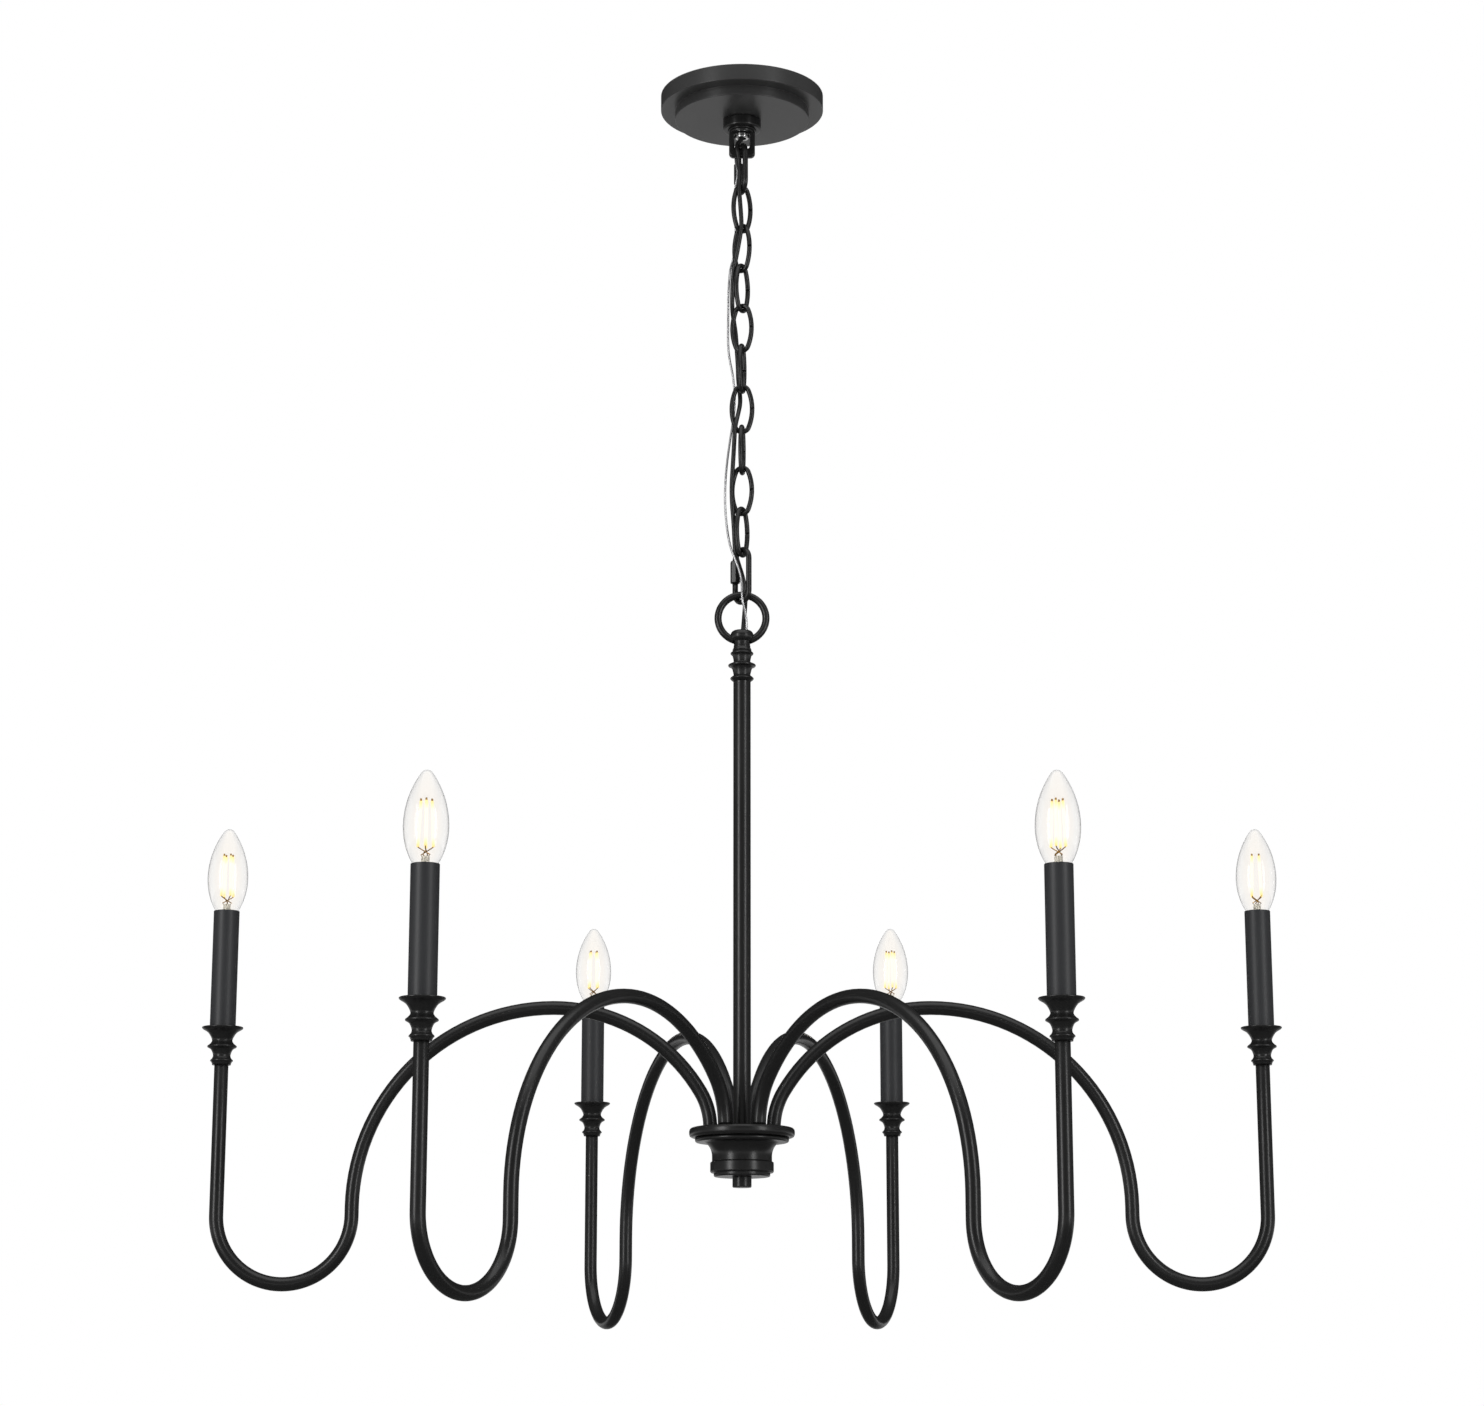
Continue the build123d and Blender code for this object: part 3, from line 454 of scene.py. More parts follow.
# %% Fitting a piece
def fit(piece, body, finish, *nodes):
    """Gives a piece its finish and its body, and names the solids that it stands for."""
    piece.data.materials.clear()
    piece.data.materials.append(finish)
    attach(piece, body)
    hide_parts(*nodes)
    return piece


def dress(finish, *nodes):
    """Puts a finish on solids that are shown as they are."""
    for node in nodes:
        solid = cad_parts[node]
        solid.data.materials.clear()
        solid.data.materials.append(finish)


dress(zinc_plate, "mounting_strap", "strap_nipple", "nipple_nuts", "center_pipe", "arm_nuts")
dress(holder_black, "lampholders")
print("hidden fittings dressed")

# %% [markdown]
# The canopy is spun from sheet metal, so its section is a thin line with soft bends: a tall rim and one
# lower step. The collar under it is a plain turned ring.

# %% Canopy and collar
CANOPY_R = 0.0740
CANOPY_RIM = 0.0146
CANOPY_STEP_R = 0.0610
CANOPY_DEPTH = 0.0234
CANOPY_HOLE_R = 0.0130
SHEET = 0.0012
BEND = 0.0007
INNER_BEND = 0.0008
FINE_EDGE = 0.0003
COLLAR_R = 0.01725
COLLAR_BORE_R = 0.0128
COLLAR_BOTTOM = -0.0330
COLLAR_FOOT_EDGE = 0.0018
COLLAR_TOP_EDGE = 0.0014
COLLAR_BORE_EDGE = 0.0004

canopy_section = soften([
    (CANOPY_HOLE_R, -CANOPY_DEPTH, FINE_EDGE),
    (CANOPY_STEP_R, -CANOPY_DEPTH, BEND),
    (CANOPY_STEP_R, -CANOPY_RIM, FINE_EDGE),
    (CANOPY_R, -CANOPY_RIM, BEND),
    (CANOPY_R, 0, FINE_EDGE),
    (CANOPY_R - SHEET, 0, FINE_EDGE),
    (CANOPY_R - SHEET, SHEET - CANOPY_RIM, FINE_EDGE),
    (CANOPY_STEP_R - SHEET, SHEET - CANOPY_RIM, INNER_BEND),
    (CANOPY_STEP_R - SHEET, SHEET - CANOPY_DEPTH, FINE_EDGE),
    (CANOPY_HOLE_R, SHEET - CANOPY_DEPTH, FINE_EDGE),
])
spun_canopy = fit(turn("spun_canopy", canopy_section, steps=128), "canopy", canopy_black_painted_light, "canopy")
collar_section = soften([
    (COLLAR_BORE_R, COLLAR_BOTTOM, COLLAR_BORE_EDGE),
    (COLLAR_R, COLLAR_BOTTOM, COLLAR_FOOT_EDGE),
    (COLLAR_R, -CANOPY_DEPTH, COLLAR_TOP_EDGE),
    (COLLAR_BORE_R, -CANOPY_DEPTH, FINE_EDGE),
])
turned_collar = fit(turn("turned_collar", collar_section), "canopy", satin_black, "canopy_collar")
print("canopy across", round(spun_canopy.dimensions.x, 4))
print("collar across", round(turned_collar.dimensions.x, 4))

# %% [markdown]
# The loop is a turned base with a flat bracket cast on it. The first link hangs in the bracket's window.
# The bracket's outline and its window have the same count of points, so one rounded section can run
# round the frame between them. A bright bushing lines the end of the pipe that the cords come out of.

# %% Canopy loop
LOOP_BASE_R = 0.0125
LOOP_BASE_TOP = -0.0090
LOOP_BASE_BOTTOM = -0.0360
LOOP_BASE_EDGE = 0.0006
LOOP_BASE_TOP_EDGE = 0.0005
LOOP_FOOT_R = 0.0104
LOOP_FOOT_HEIGHT = 0.0014
LOOP_FOOT_SLOPE = 0.0002
LOOP_TOP = -0.0280
LOOP_BOTTOM = -0.0593
LOOP_HALF_WIDTH = 0.0118
LOOP_CORNER = 0.0040
WINDOW_TOP = -0.0380
WINDOW_BOTTOM = -0.0511
WINDOW_HALF_WIDTH = 0.0069
WINDOW_CORNER = 0.0025
LOOP_HALF_DEPTH = 0.0032
LOOP_EDGE = 0.0018
PIPE_R = 0.0049
BUSHING_R = 0.0061
BUSHING_BORE_R = 0.0037
BUSHING_BOTTOM = -0.0408
BUSHING_LIP = 0.0010
BUSHING_MOUTH = 0.0006
BUSHING_TOP_EDGE = 0.0004


def rounded_box(half_width, bottom, top, corner, steps=6):
    """Points round a rectangle with rounded corners, from its right side upwards."""
    left, right = corner - half_width, half_width - corner
    low, high = bottom + corner, top - corner
    centres = ((right, high), (left, high), (left, low), (right, low))
    line = []
    for quarter, centre in enumerate(centres):
        line += arc(centre, corner, 90 * quarter, 90 * quarter + 90, steps)
    return line


base_section = soften([
    (PIPE_R, LOOP_BASE_BOTTOM, 0),
    (LOOP_FOOT_R, LOOP_BASE_BOTTOM, LOOP_BASE_EDGE),
    (LOOP_FOOT_R + LOOP_FOOT_SLOPE, LOOP_BASE_BOTTOM + LOOP_FOOT_HEIGHT, FINE_EDGE),
    (LOOP_BASE_R, LOOP_BASE_BOTTOM + LOOP_FOOT_HEIGHT + 2 * LOOP_FOOT_SLOPE, LOOP_BASE_EDGE),
    (LOOP_BASE_R, LOOP_BASE_TOP, LOOP_BASE_TOP_EDGE),
    (PIPE_R, LOOP_BASE_TOP, 0),
])
fit(turn("loop_base", base_section), "ceiling_mount", satin_black, "canopy_loop")
outline = rounded_box(LOOP_HALF_WIDTH, LOOP_BOTTOM, LOOP_TOP, LOOP_CORNER)
window = rounded_box(WINDOW_HALF_WIDTH, WINDOW_BOTTOM, WINDOW_TOP, WINDOW_CORNER)
bracket = bmesh.new()
sections = []
for outer, inner in zip(outline, window):
    inward = Vector(inner) - Vector(outer)
    across = rounded_box(inward.length / 2, -LOOP_HALF_DEPTH, LOOP_HALF_DEPTH, LOOP_EDGE, steps=4)
    section = []
    for offset, depth_y in across:
        place = Vector(outer) + inward.normalized() * (inward.length / 2 + offset)
        section.append(bracket.verts.new((place.x, depth_y, place.y)))
    sections.append(section)
skin(bracket, sections)
cast_bracket = build("cast_bracket", bracket)
fit(cast_bracket, "ceiling_mount", satin_black, "canopy_loop")
bushing_section = soften([
    (BUSHING_BORE_R, BUSHING_BOTTOM, BUSHING_MOUTH),
    (BUSHING_R, BUSHING_BOTTOM, BUSHING_LIP),
    (BUSHING_R, LOOP_BASE_BOTTOM, BUSHING_TOP_EDGE),
    (BUSHING_BORE_R, LOOP_BASE_BOTTOM, 0),
])
pipe_bushing = turn("pipe_bushing", bushing_section, steps=48)
pipe_bushing.data.materials.append(bright_zinc)
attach(pipe_bushing, "ceiling_mount")
print("bracket", len(cast_bracket.data.polygons), "faces, hangs down to", LOOP_BOTTOM)

# %% [markdown]
# A chain link is a wire bent to an oval with a small open seam in one side: two wide arcs for the sides and
# two tight ones for the ends. Each link is turned about the vertical as it hangs in the photograph. The
# quick links at both ends have straight legs and a gate instead, closed by a long hexagon nut.

# %% Chain
LINK_PITCH = 0.0380
LINK_PLAY = 0.0002
LINK_WIDTH = 0.0224
LINK_WIRE = 0.0043
LINK_SEAM = 0.0005
LINK_END_R = 0.0062
LINK_SIDE_STEPS = 12
LINK_END_STEPS = 20
FIRST_JUNCTION = -0.0897
LINK_YAWS = (33, -42, 55, -20, 77, 0, 82, -16, 59)
QUICK_WIDTH = 0.0240
QUICK_WIRE = 0.0050
QUICK_GATE = 0.0090
QUICK_END_STEPS = 24


def oval_line():
    """Centre line of a chain link in its own plane, starting and ending at the seam in its right side."""
    half_width = (LINK_WIDTH - LINK_WIRE) / 2
    end_z = (LINK_PITCH + LINK_PLAY + LINK_WIRE) / 2 - LINK_END_R
    side_r = (half_width**2 + end_z**2 - LINK_END_R**2) / (2 * (half_width - LINK_END_R))
    side = degrees(atan2(end_z, side_r - half_width))
    seam = degrees(LINK_SEAM / 2 / side_r)
    line = arc((half_width - side_r, 0), side_r, seam, side, LINK_SIDE_STEPS)
    line += arc((0, end_z), LINK_END_R, side, 180 - side, LINK_END_STEPS)[1:]
    line += arc((side_r - half_width, 0), side_r, 180 - side, 180 + side, 2 * LINK_SIDE_STEPS)[1:]
    line += arc((0, -end_z), LINK_END_R, 180 + side, 360 - side, LINK_END_STEPS)[1:]
    return line + arc((half_width - side_r, 0), side_r, -side, -seam, LINK_SIDE_STEPS)[1:]


def gated_line(inner, rise):
    """Centre line of a quick link, starting and ending at the gate in its right leg."""
    leg = (QUICK_WIDTH - QUICK_WIRE) / 2
    straight = (inner + 2 * QUICK_WIRE - QUICK_WIDTH) / 2
    line = [(leg, rise + QUICK_GATE / 2)]
    line += arc((0, straight), leg, 0, 180, QUICK_END_STEPS)
    line += arc((0, -straight), leg, 180, 360, QUICK_END_STEPS)
    return line + [(leg, rise - QUICK_GATE / 2)]


def hang_link(target, line, height, yaw, wire):
    """Adds a link to mesh data, at a height and turned about the vertical."""
    facing = Matrix.Rotation(radians(yaw), 3, "Z")
    points = [facing @ Vector((x, 0, z)) + Vector((0, 0, height)) for x, z in line]
    add_tube(target, points, wire / 2)


links_mesh = bmesh.new()
for number, yaw in enumerate(LINK_YAWS):
    hang_link(links_mesh, oval_line(), FIRST_JUNCTION - LINK_PITCH * (number + 0.5), yaw, LINK_WIRE)
oval_links = build("oval_links", links_mesh)
fit(oval_links, "chain", chain_black, "chain_links")
print("chain length", round(oval_links.dimensions.z, 4))

# %% Quick links and their nuts
# Inside top and bottom, turn about the vertical, and the gate's height above the middle
QUICK_LINKS = {"top": (-0.0506, -0.0899, -72.0, -0.0020), "lower": (-0.4315, -0.4741, -51.0, 0.0050)}
NUT_FLATS = 0.0080
NUT_LENGTH = 0.0200
NUT_BORE_R = 0.0028
NUT_FACE_R = 0.49 * NUT_FLATS
NUT_CORNER_R = NUT_FLATS / sqrt(3)
NUT_CHAMFER = 0.0008


def hexagon_nut(name, steps=48):
    """A long nut: a hexagon whose corners are turned off towards both ends."""
    bottom = -NUT_LENGTH / 2
    edges = [(NUT_BORE_R, bottom), (NUT_FACE_R, bottom), (NUT_CORNER_R, bottom + NUT_CHAMFER)]
    edges += [(r, -z) for r, z in reversed(edges)]
    nut = bmesh.new()
    rings = []
    for r, z in edges:
        ring = []
        for a in turn_angles(steps):
            flat_r = NUT_FLATS / 2 / cos((a + pi / 6) % (pi / 3) - pi / 6)
            ring.append(nut.verts.new((min(r, flat_r) * cos(a), min(r, flat_r) * sin(a), z)))
        rings.append(ring)
    skin(nut, rings)
    return build(name, nut, smooth=False)


for which, (inner_top, inner_bottom, yaw, rise) in QUICK_LINKS.items():
    middle_z = (inner_top + inner_bottom) / 2
    gated = bmesh.new()
    hang_link(gated, gated_line(inner_top - inner_bottom, rise), middle_z, yaw + 180, QUICK_WIRE)
    fit(build(f"{which}_gated_link", gated), "chain", chain_black, f"{which}_quick_link")
    nut = hexagon_nut(f"{which}_gate_nut")
    leg = (QUICK_WIDTH - QUICK_WIRE) / 2
    nut.location = (-leg * cos(radians(yaw)), -leg * sin(radians(yaw)), middle_z + rise)
    nut.rotation_euler.z = radians(yaw)
    fit(nut, f"{which}_link_nut", chain_black, f"{which}_link_nut")
print("quick links", list(QUICK_LINKS))

# %% [markdown]
# The flex and the thin earth wire run down beside the chain and weave through a few of its links. The
# points of a route pull a smooth spline into shape, and a round bar runs along that spline. At the top
# both cords stay with the ceiling loop, and below the first link they follow the chain.

# %% Cords
FLEX_D = 0.0040
EARTH_D = 0.0020
CORD_SIDES = 14
ROUTE_STEPS = 8
FLEX_ROUTE = [
    (0.0015, 0.0003, -0.0300), (0.0012, 0.0000, -0.0380), (-0.0009, -0.0018, -0.0425),
    (-0.0036, -0.0035, -0.0463), (-0.0047, -0.0053, -0.0502), (-0.0042, -0.0065, -0.0550),
    (-0.0030, -0.0064, -0.0610), (-0.0018, -0.0056, -0.0720), (-0.0029, -0.0074, -0.0897),
    (-0.0014, -0.0064, -0.1087), (-0.0002, -0.0074, -0.1277), (-0.0018, -0.0066, -0.1380),
    (-0.0034, -0.0052, -0.1470), (-0.0052, -0.0032, -0.1560), (-0.0072, -0.0014, -0.1657),
    (-0.0084, 0.0002, -0.1780), (-0.0088, 0.0026, -0.1910), (-0.0088, 0.0058, -0.2037),
    (-0.0074, 0.0078, -0.2130), (-0.0056, 0.0078, -0.2250), (-0.0046, 0.0064, -0.2417),
    (-0.0036, 0.0060, -0.2570), (-0.0034, 0.0074, -0.2690), (-0.0020, 0.0092, -0.2797),
    (-0.0014, 0.0060, -0.2910), (-0.0032, 0.0006, -0.3020), (-0.0050, -0.0044, -0.3110),
    (-0.0064, -0.0052, -0.3190), (-0.0072, -0.0048, -0.3367), (-0.0083, -0.0046, -0.3557),
    (-0.0092, -0.0040, -0.3710), (-0.0089, -0.0040, -0.3870), (-0.0076, -0.0030, -0.4020),
    (-0.0068, -0.0016, -0.4160), (-0.0062, -0.0004, -0.4310), (-0.0032, 0.0004, -0.4415),
    (0.0000, 0.0016, -0.4510), (0.0022, 0.0040, -0.4600), (0.0032, 0.0060, -0.4700),
    (0.0026, 0.0050, -0.4810), (0.0016, 0.0022, -0.4940), (0.0009, 0.0006, -0.5030),
    (0.0004, 0.0002, -0.5100),
]
EARTH_ROUTE = [
    (-0.0024, 0.0002, -0.0300), (-0.0022, 0.0002, -0.0398), (-0.0036, 0.0014, -0.0440),
    (-0.0060, 0.0042, -0.0488), (-0.0060, 0.0054, -0.0575), (-0.0056, 0.0022, -0.0640),
    (-0.0044, -0.0012, -0.0700), (-0.0040, -0.0018, -0.0780), (-0.0062, 0.0002, -0.0880),
    (-0.0074, 0.0016, -0.0980), (-0.0076, 0.0030, -0.1080), (-0.0064, 0.0054, -0.1180),
    (-0.0056, 0.0080, -0.1280), (-0.0062, 0.0098, -0.1380), (-0.0069, 0.0100, -0.1470),
    (-0.0082, 0.0098, -0.1545), (-0.0100, 0.0064, -0.1615), (-0.0110, 0.0016, -0.1695),
    (-0.0116, -0.0010, -0.1780), (-0.0124, 0.0000, -0.1910), (-0.0124, 0.0014, -0.2050),
    (-0.0125, 0.0010, -0.2220), (-0.0126, 0.0008, -0.2380), (-0.0112, 0.0016, -0.2520),
    (-0.0084, 0.0022, -0.2645), (-0.0070, 0.0029, -0.2770), (-0.0062, 0.0044, -0.2890),
    (-0.0070, 0.0044, -0.3010), (-0.0086, 0.0038, -0.3130), (-0.0106, 0.0020, -0.3270),
    (-0.0132, -0.0004, -0.3470), (-0.0149, -0.0012, -0.3670), (-0.0152, -0.0010, -0.3870),
    (-0.0139, -0.0006, -0.4050), (-0.0118, -0.0012, -0.4200), (-0.0092, -0.0026, -0.4305),
    (-0.0062, -0.0034, -0.4380), (-0.0034, -0.0032, -0.4455), (-0.0008, -0.0034, -0.4545),
    (0.0000, -0.0050, -0.4640), (-0.0002, -0.0064, -0.4715), (0.0006, -0.0062, -0.4780),
    (0.0026, -0.0038, -0.4855), (0.0041, -0.0009, -0.4940), (0.0042, 0.0002, -0.5030),
    (0.0036, 0.0003, -0.5100),
]


def spline_points(route):
    """Points along a smooth spline that has the route as its control points."""
    curve = bpy.data.curves.new("route", "CURVE")
    curve.dimensions = "3D"
    curve.resolution_u = ROUTE_STEPS
    spline = curve.splines.new("NURBS")
    spline.points.add(len(route) - 1)
    for point, place in zip(spline.points, route):
        point.co = (*place, 1)
    spline.order_u = 3
    spline.use_endpoint_u = True
    holder = link(bpy.data.objects.new("route", curve))
    bpy.context.view_layer.update()
    traced = bpy.data.meshes.new_from_object(holder)
    points = [vertex.co.copy() for vertex in traced.vertices]
    bpy.data.objects.remove(holder)
    bpy.data.curves.remove(curve)
    bpy.data.meshes.remove(traced)
    return points


def run_cord(name, node, route, diameter, finish):
    """Lays a cord along its route, from the ceiling loop into the stem."""
    points = spline_points(route)
    tube = bmesh.new()
    add_tube(tube, points, diameter / 2, sides=CORD_SIDES)
    cord = build(name, tube)
    cord.data.materials.append(finish)
    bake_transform(cord)
    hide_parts(node)


run_cord("black_flex", "flex_cord", FLEX_ROUTE, FLEX_D, flex_black)
run_cord("earth_lead", "ground_wire", EARTH_ROUTE, EARTH_D, earth_silver)

# %% [markdown]
# The stem hangs from a cast ring with a dome under it. The neck below is turned with three beads, and the
# stem itself is a plain tube down to the hub.

# %% Ring, neck and stem
RING_Z = -0.4915
RING_R = 0.0211
RING_BAR_R = 0.0032
RING_START = -73
RING_END = 253
RING_STEPS = 72
DOME_FOOT = (0.0072, -0.5166)
DOME_HOLLOW = (0.0071, -0.5142)
DOME_WAIST = (0.0073, -0.5126)
DOME_LOWER = (0.0094, -0.5110)
DOME_BELLY = (0.0103, -0.5078)
DOME_UPPER = (0.0092, -0.5044)
DOME_RIM = (0.0068, -0.5030)
NECK_TOP = -0.5170
NECK_BOTTOM = -0.5490
NECK_R = 0.0074
NECK_STEP = [(0.0074, -0.5181), (0.0082, -0.5199), (0.0084, -0.5205), (0.0080, -0.5211)]
NECK_BEADS = ((-0.5236, 0.0101), (-0.5344, 0.0121), (-0.5462, 0.0103))
BEAD_WAIST = 0.0034
BEAD_FLARE = 0.0021
BEAD_HALF = 0.0009
BEAD_NIP = 0.0005
FLARE_SHARE = 0.35
MOUTH_R = 0.0065
MOUTH_FLOOR = -0.5110
STEM_R = 0.0076
STEM_WALL = 0.0015
PLATE_TOP = -0.9387


def bow(start, through, end, steps=10):
    """Points on the smooth curve from start to end that passes a third point half way."""
    a, c = Vector(start), Vector(end)
    pull = Vector(through) * 2 - (a + c) / 2
    shares = [step / steps for step in range(steps + 1)]
    return [tuple(a * (1 - t) ** 2 + pull * 2 * t * (1 - t) + c * t * t) for t in shares]


def flow(points, steps=6):
    """A smooth curve through points: each stretch leaves and arrives along its neighbours' direction."""
    points = [Vector(point) for point in points]
    last = len(points) - 1
    line = [tuple(points[0])]
    for index in range(last):
        a, b = points[index], points[index + 1]
        leave = (b - points[max(index - 1, 0)]) / 2
        arrive = (points[min(index + 2, last)] - a) / 2
        for step in range(1, steps + 1):
            t = step / steps
            share = (1 + 2 * t) * (1 - t) ** 2
            point = a * share + b * (1 - share) + leave * t * (1 - t) ** 2 - arrive * t * t * (1 - t)
            line.append(tuple(point))
    return line


ring_bar = bmesh.new()
ring_line = arc((0, RING_Z), RING_R, RING_START, RING_END, RING_STEPS)
add_tube(ring_bar, [(x, 0, z) for x, z in ring_line], RING_BAR_R, sides=32)
cast_ring = build("cast_ring", ring_bar)
fit(cast_ring, "fixture", satin_black, "stem_loop")
dome_section = [(MOUTH_R, MOUTH_FLOOR), (PIPE_R, MOUTH_FLOOR), (PIPE_R, NECK_TOP), (NECK_R, NECK_TOP)]
dome_section += bow(DOME_FOOT, DOME_HOLLOW, DOME_WAIST, steps=6)
dome_section += bow(DOME_WAIST, DOME_LOWER, DOME_BELLY)[1:]
dome_section += bow(DOME_BELLY, DOME_UPPER, DOME_RIM)[1:]
fit(turn("ring_dome", dome_section), "fixture", satin_black, "stem_loop")
neck_line = [(NECK_R, NECK_TOP)] + NECK_STEP
for bead_z, bead_r in NECK_BEADS:
    flare_r = NECK_R + (bead_r - NECK_R) * FLARE_SHARE
    neck_line += [(NECK_R, bead_z + BEAD_WAIST), (flare_r, bead_z + BEAD_FLARE)]
    neck_line += [(bead_r - BEAD_NIP, bead_z + BEAD_HALF), (bead_r, bead_z)]
    neck_line += [(bead_r - BEAD_NIP, bead_z - BEAD_HALF), (flare_r, bead_z - BEAD_FLARE)]
neck_section = [(PIPE_R, NECK_TOP)] + flow(neck_line) + [(NECK_R, NECK_BOTTOM), (PIPE_R, NECK_BOTTOM)]
fit(turn("turned_neck", neck_section), "fixture", satin_black, "stem_neck")
stem_bore_r = STEM_R - STEM_WALL
stem_section = [(stem_bore_r, PLATE_TOP), (STEM_R, PLATE_TOP)]
stem_section += [(STEM_R, NECK_BOTTOM), (stem_bore_r, NECK_BOTTOM)]
plain_stem = fit(turn("plain_stem", stem_section), "fixture", satin_black, "stem_tube")
print("stem length", round(plain_stem.dimensions.z, 4))

# %% [markdown]
# The hub is turned in three pieces. The arms stand on a thick plate with a rounded edge. A hollow cover
# hangs under it, with a lip, a deep cove, a band and a stepped foot, and a small plug closes the bottom.

# %% Hub
HUB_Z = -0.9470
PLATE_R = 0.0450
LIP_R = 0.0400
LIP_HEIGHT = 0.0040
LIP_EDGE = 0.0026
COVE_TOP_R = 0.0335
COVE_R = 0.0255
COVE_HEIGHT = 0.0120
COVE_EDGE = 0.0004
COVE_STEPS = 14
BAND_R = 0.0270
BAND_TOP = 0.0200
BAND_SLOPE = 0.0010
BAND_TOP_EDGE = 0.0008
BAND_BOTTOM = 0.0297
BAND_EDGE = 0.0016
FOOT_R = 0.0240
FOOT_EDGE = 0.0014
COVER_HEIGHT = 0.0330
COVER_FLOOR = 0.0030
CAVITY_R = 0.0310
CAVITY_DEPTH = 0.0025
SHELF_R = 0.0270
SHELF_DEPTH = 0.0068
WELL_R = 0.0225
WELL_DEPTH = 0.0100
PLATE_EDGE = 0.0036
PLUG_R = 0.0081
PLUG_HEIGHT = 0.0090
PLUG_EDGE = 0.0010
PLUG_BORE_DEPTH = 0.0060
HUB_STEPS = 96

plate_section = soften([
    (PIPE_R, HUB_Z, 0),
    (PLATE_R, HUB_Z, PLATE_EDGE),
    (PLATE_R, PLATE_TOP, PLATE_EDGE),
    (PIPE_R, PLATE_TOP, 0),
], steps=6)
fit(turn("turned_plate", plate_section, HUB_STEPS), "fixture", satin_black, "hub_plate")
cove = [
    (COVE_TOP_R - (COVE_TOP_R - COVE_R) * cos(a), HUB_Z - LIP_HEIGHT - COVE_HEIGHT * (1 - sin(a)))
    for a in [radians(90 - 90 * step / COVE_STEPS) for step in range(COVE_STEPS + 1)]
]
cover_corners = [(LIP_R, HUB_Z, 0), (LIP_R, HUB_Z - LIP_HEIGHT, LIP_EDGE), (*cove[0], COVE_EDGE)]
cover_corners += [(r, z, 0) for r, z in cove[1:]]
cover_corners += [
    (COVE_R, HUB_Z - BAND_TOP, COVE_EDGE),
    (BAND_R, HUB_Z - BAND_TOP - BAND_SLOPE, BAND_TOP_EDGE),
    (BAND_R, HUB_Z - BAND_BOTTOM, BAND_EDGE),
    (FOOT_R, HUB_Z - BAND_BOTTOM, FINE_EDGE),
    (FOOT_R, HUB_Z - COVER_HEIGHT, FOOT_EDGE),
    (PIPE_R, HUB_Z - COVER_HEIGHT, 0),
    (PIPE_R, HUB_Z - COVER_HEIGHT + COVER_FLOOR, 0),
    (WELL_R, HUB_Z - COVER_HEIGHT + COVER_FLOOR, 0),
    (WELL_R, HUB_Z - WELL_DEPTH, 0),
    (SHELF_R, HUB_Z - SHELF_DEPTH, 0),
    (CAVITY_R, HUB_Z - CAVITY_DEPTH, 0),
    (CAVITY_R, HUB_Z, 0),
]
fit(turn("turned_cover", soften(cover_corners), HUB_STEPS), "fixture", satin_black, "hub_cover")
cover_bottom = HUB_Z - COVER_HEIGHT
plug_section = soften([
    (0, cover_bottom - PLUG_HEIGHT, 0),
    (PLUG_R, cover_bottom - PLUG_HEIGHT, PLUG_EDGE),
    (PLUG_R, cover_bottom, FINE_EDGE),
    (PIPE_R, cover_bottom, 0),
    (PIPE_R, cover_bottom - PLUG_BORE_DEPTH, 0),
    (0, cover_bottom - PLUG_BORE_DEPTH, 0),
])
fit(turn("turned_plug", plug_section), "fixture", satin_black, "hub_plug")
print("hub height", round(PLATE_TOP - cover_bottom + PLUG_HEIGHT, 4))

# %% [markdown]
# An arm is one tube bent in a vertical plane: up out of the plate, over the top, down a straight leg, round
# the trough and up to the cup. Walking along it move by move, as a tube bender does, gives its centre line.
# The pair at the sides climbs a little higher than the others.

# %% Arms
ARM_R = 0.0060
ARM_FOOT_R = 0.0270
ARM_FOOT_BEND = 0.0600
ARM_TOP_R = 0.1616
ARM_TOP_HEIGHT = 0.0940
ARM_LEG_R = 0.3304
ARM_TROUGH_HEIGHT = -0.0943
CANDLE_R = 0.4450
CUP_SEAT_HEIGHT = 0.0625
CUP_HEIGHT = 0.0325
SIDE_RISE = 0.0236
ARMS = ((0.0, SIDE_RISE), (70.7, 0.0), (109.3, 0.0), (180.0, SIDE_RISE), (237.8, 0.0), (302.2, 0.0))
BEND_STEP = 3.0


def outward(azimuth):
    """Level direction away from the axis."""
    return Vector((cos(radians(azimuth)), sin(radians(azimuth)), 0))


def walk(place, heading, moves):
    """Centre line from a start and a heading in degrees, by arcs (radius, turn) and straight runs."""
    place = Vector(place)
    line = [place.copy()]
    for kind, first, second in moves:
        if kind == "run":
            place = place + Vector((cos(radians(heading)), sin(radians(heading)))) * first
            line.append(place.copy())
            continue
        side = 90 if second > 0 else -90
        centre = place + Vector((cos(radians(heading + side)), sin(radians(heading + side)))) * first
        start = heading - side
        steps = ceil(abs(second) / BEND_STEP)
        line += [Vector(p) for p in arc(centre, first, start, start + second, steps)[1:]]
        place = line[-1].copy()
        heading += second
    return line


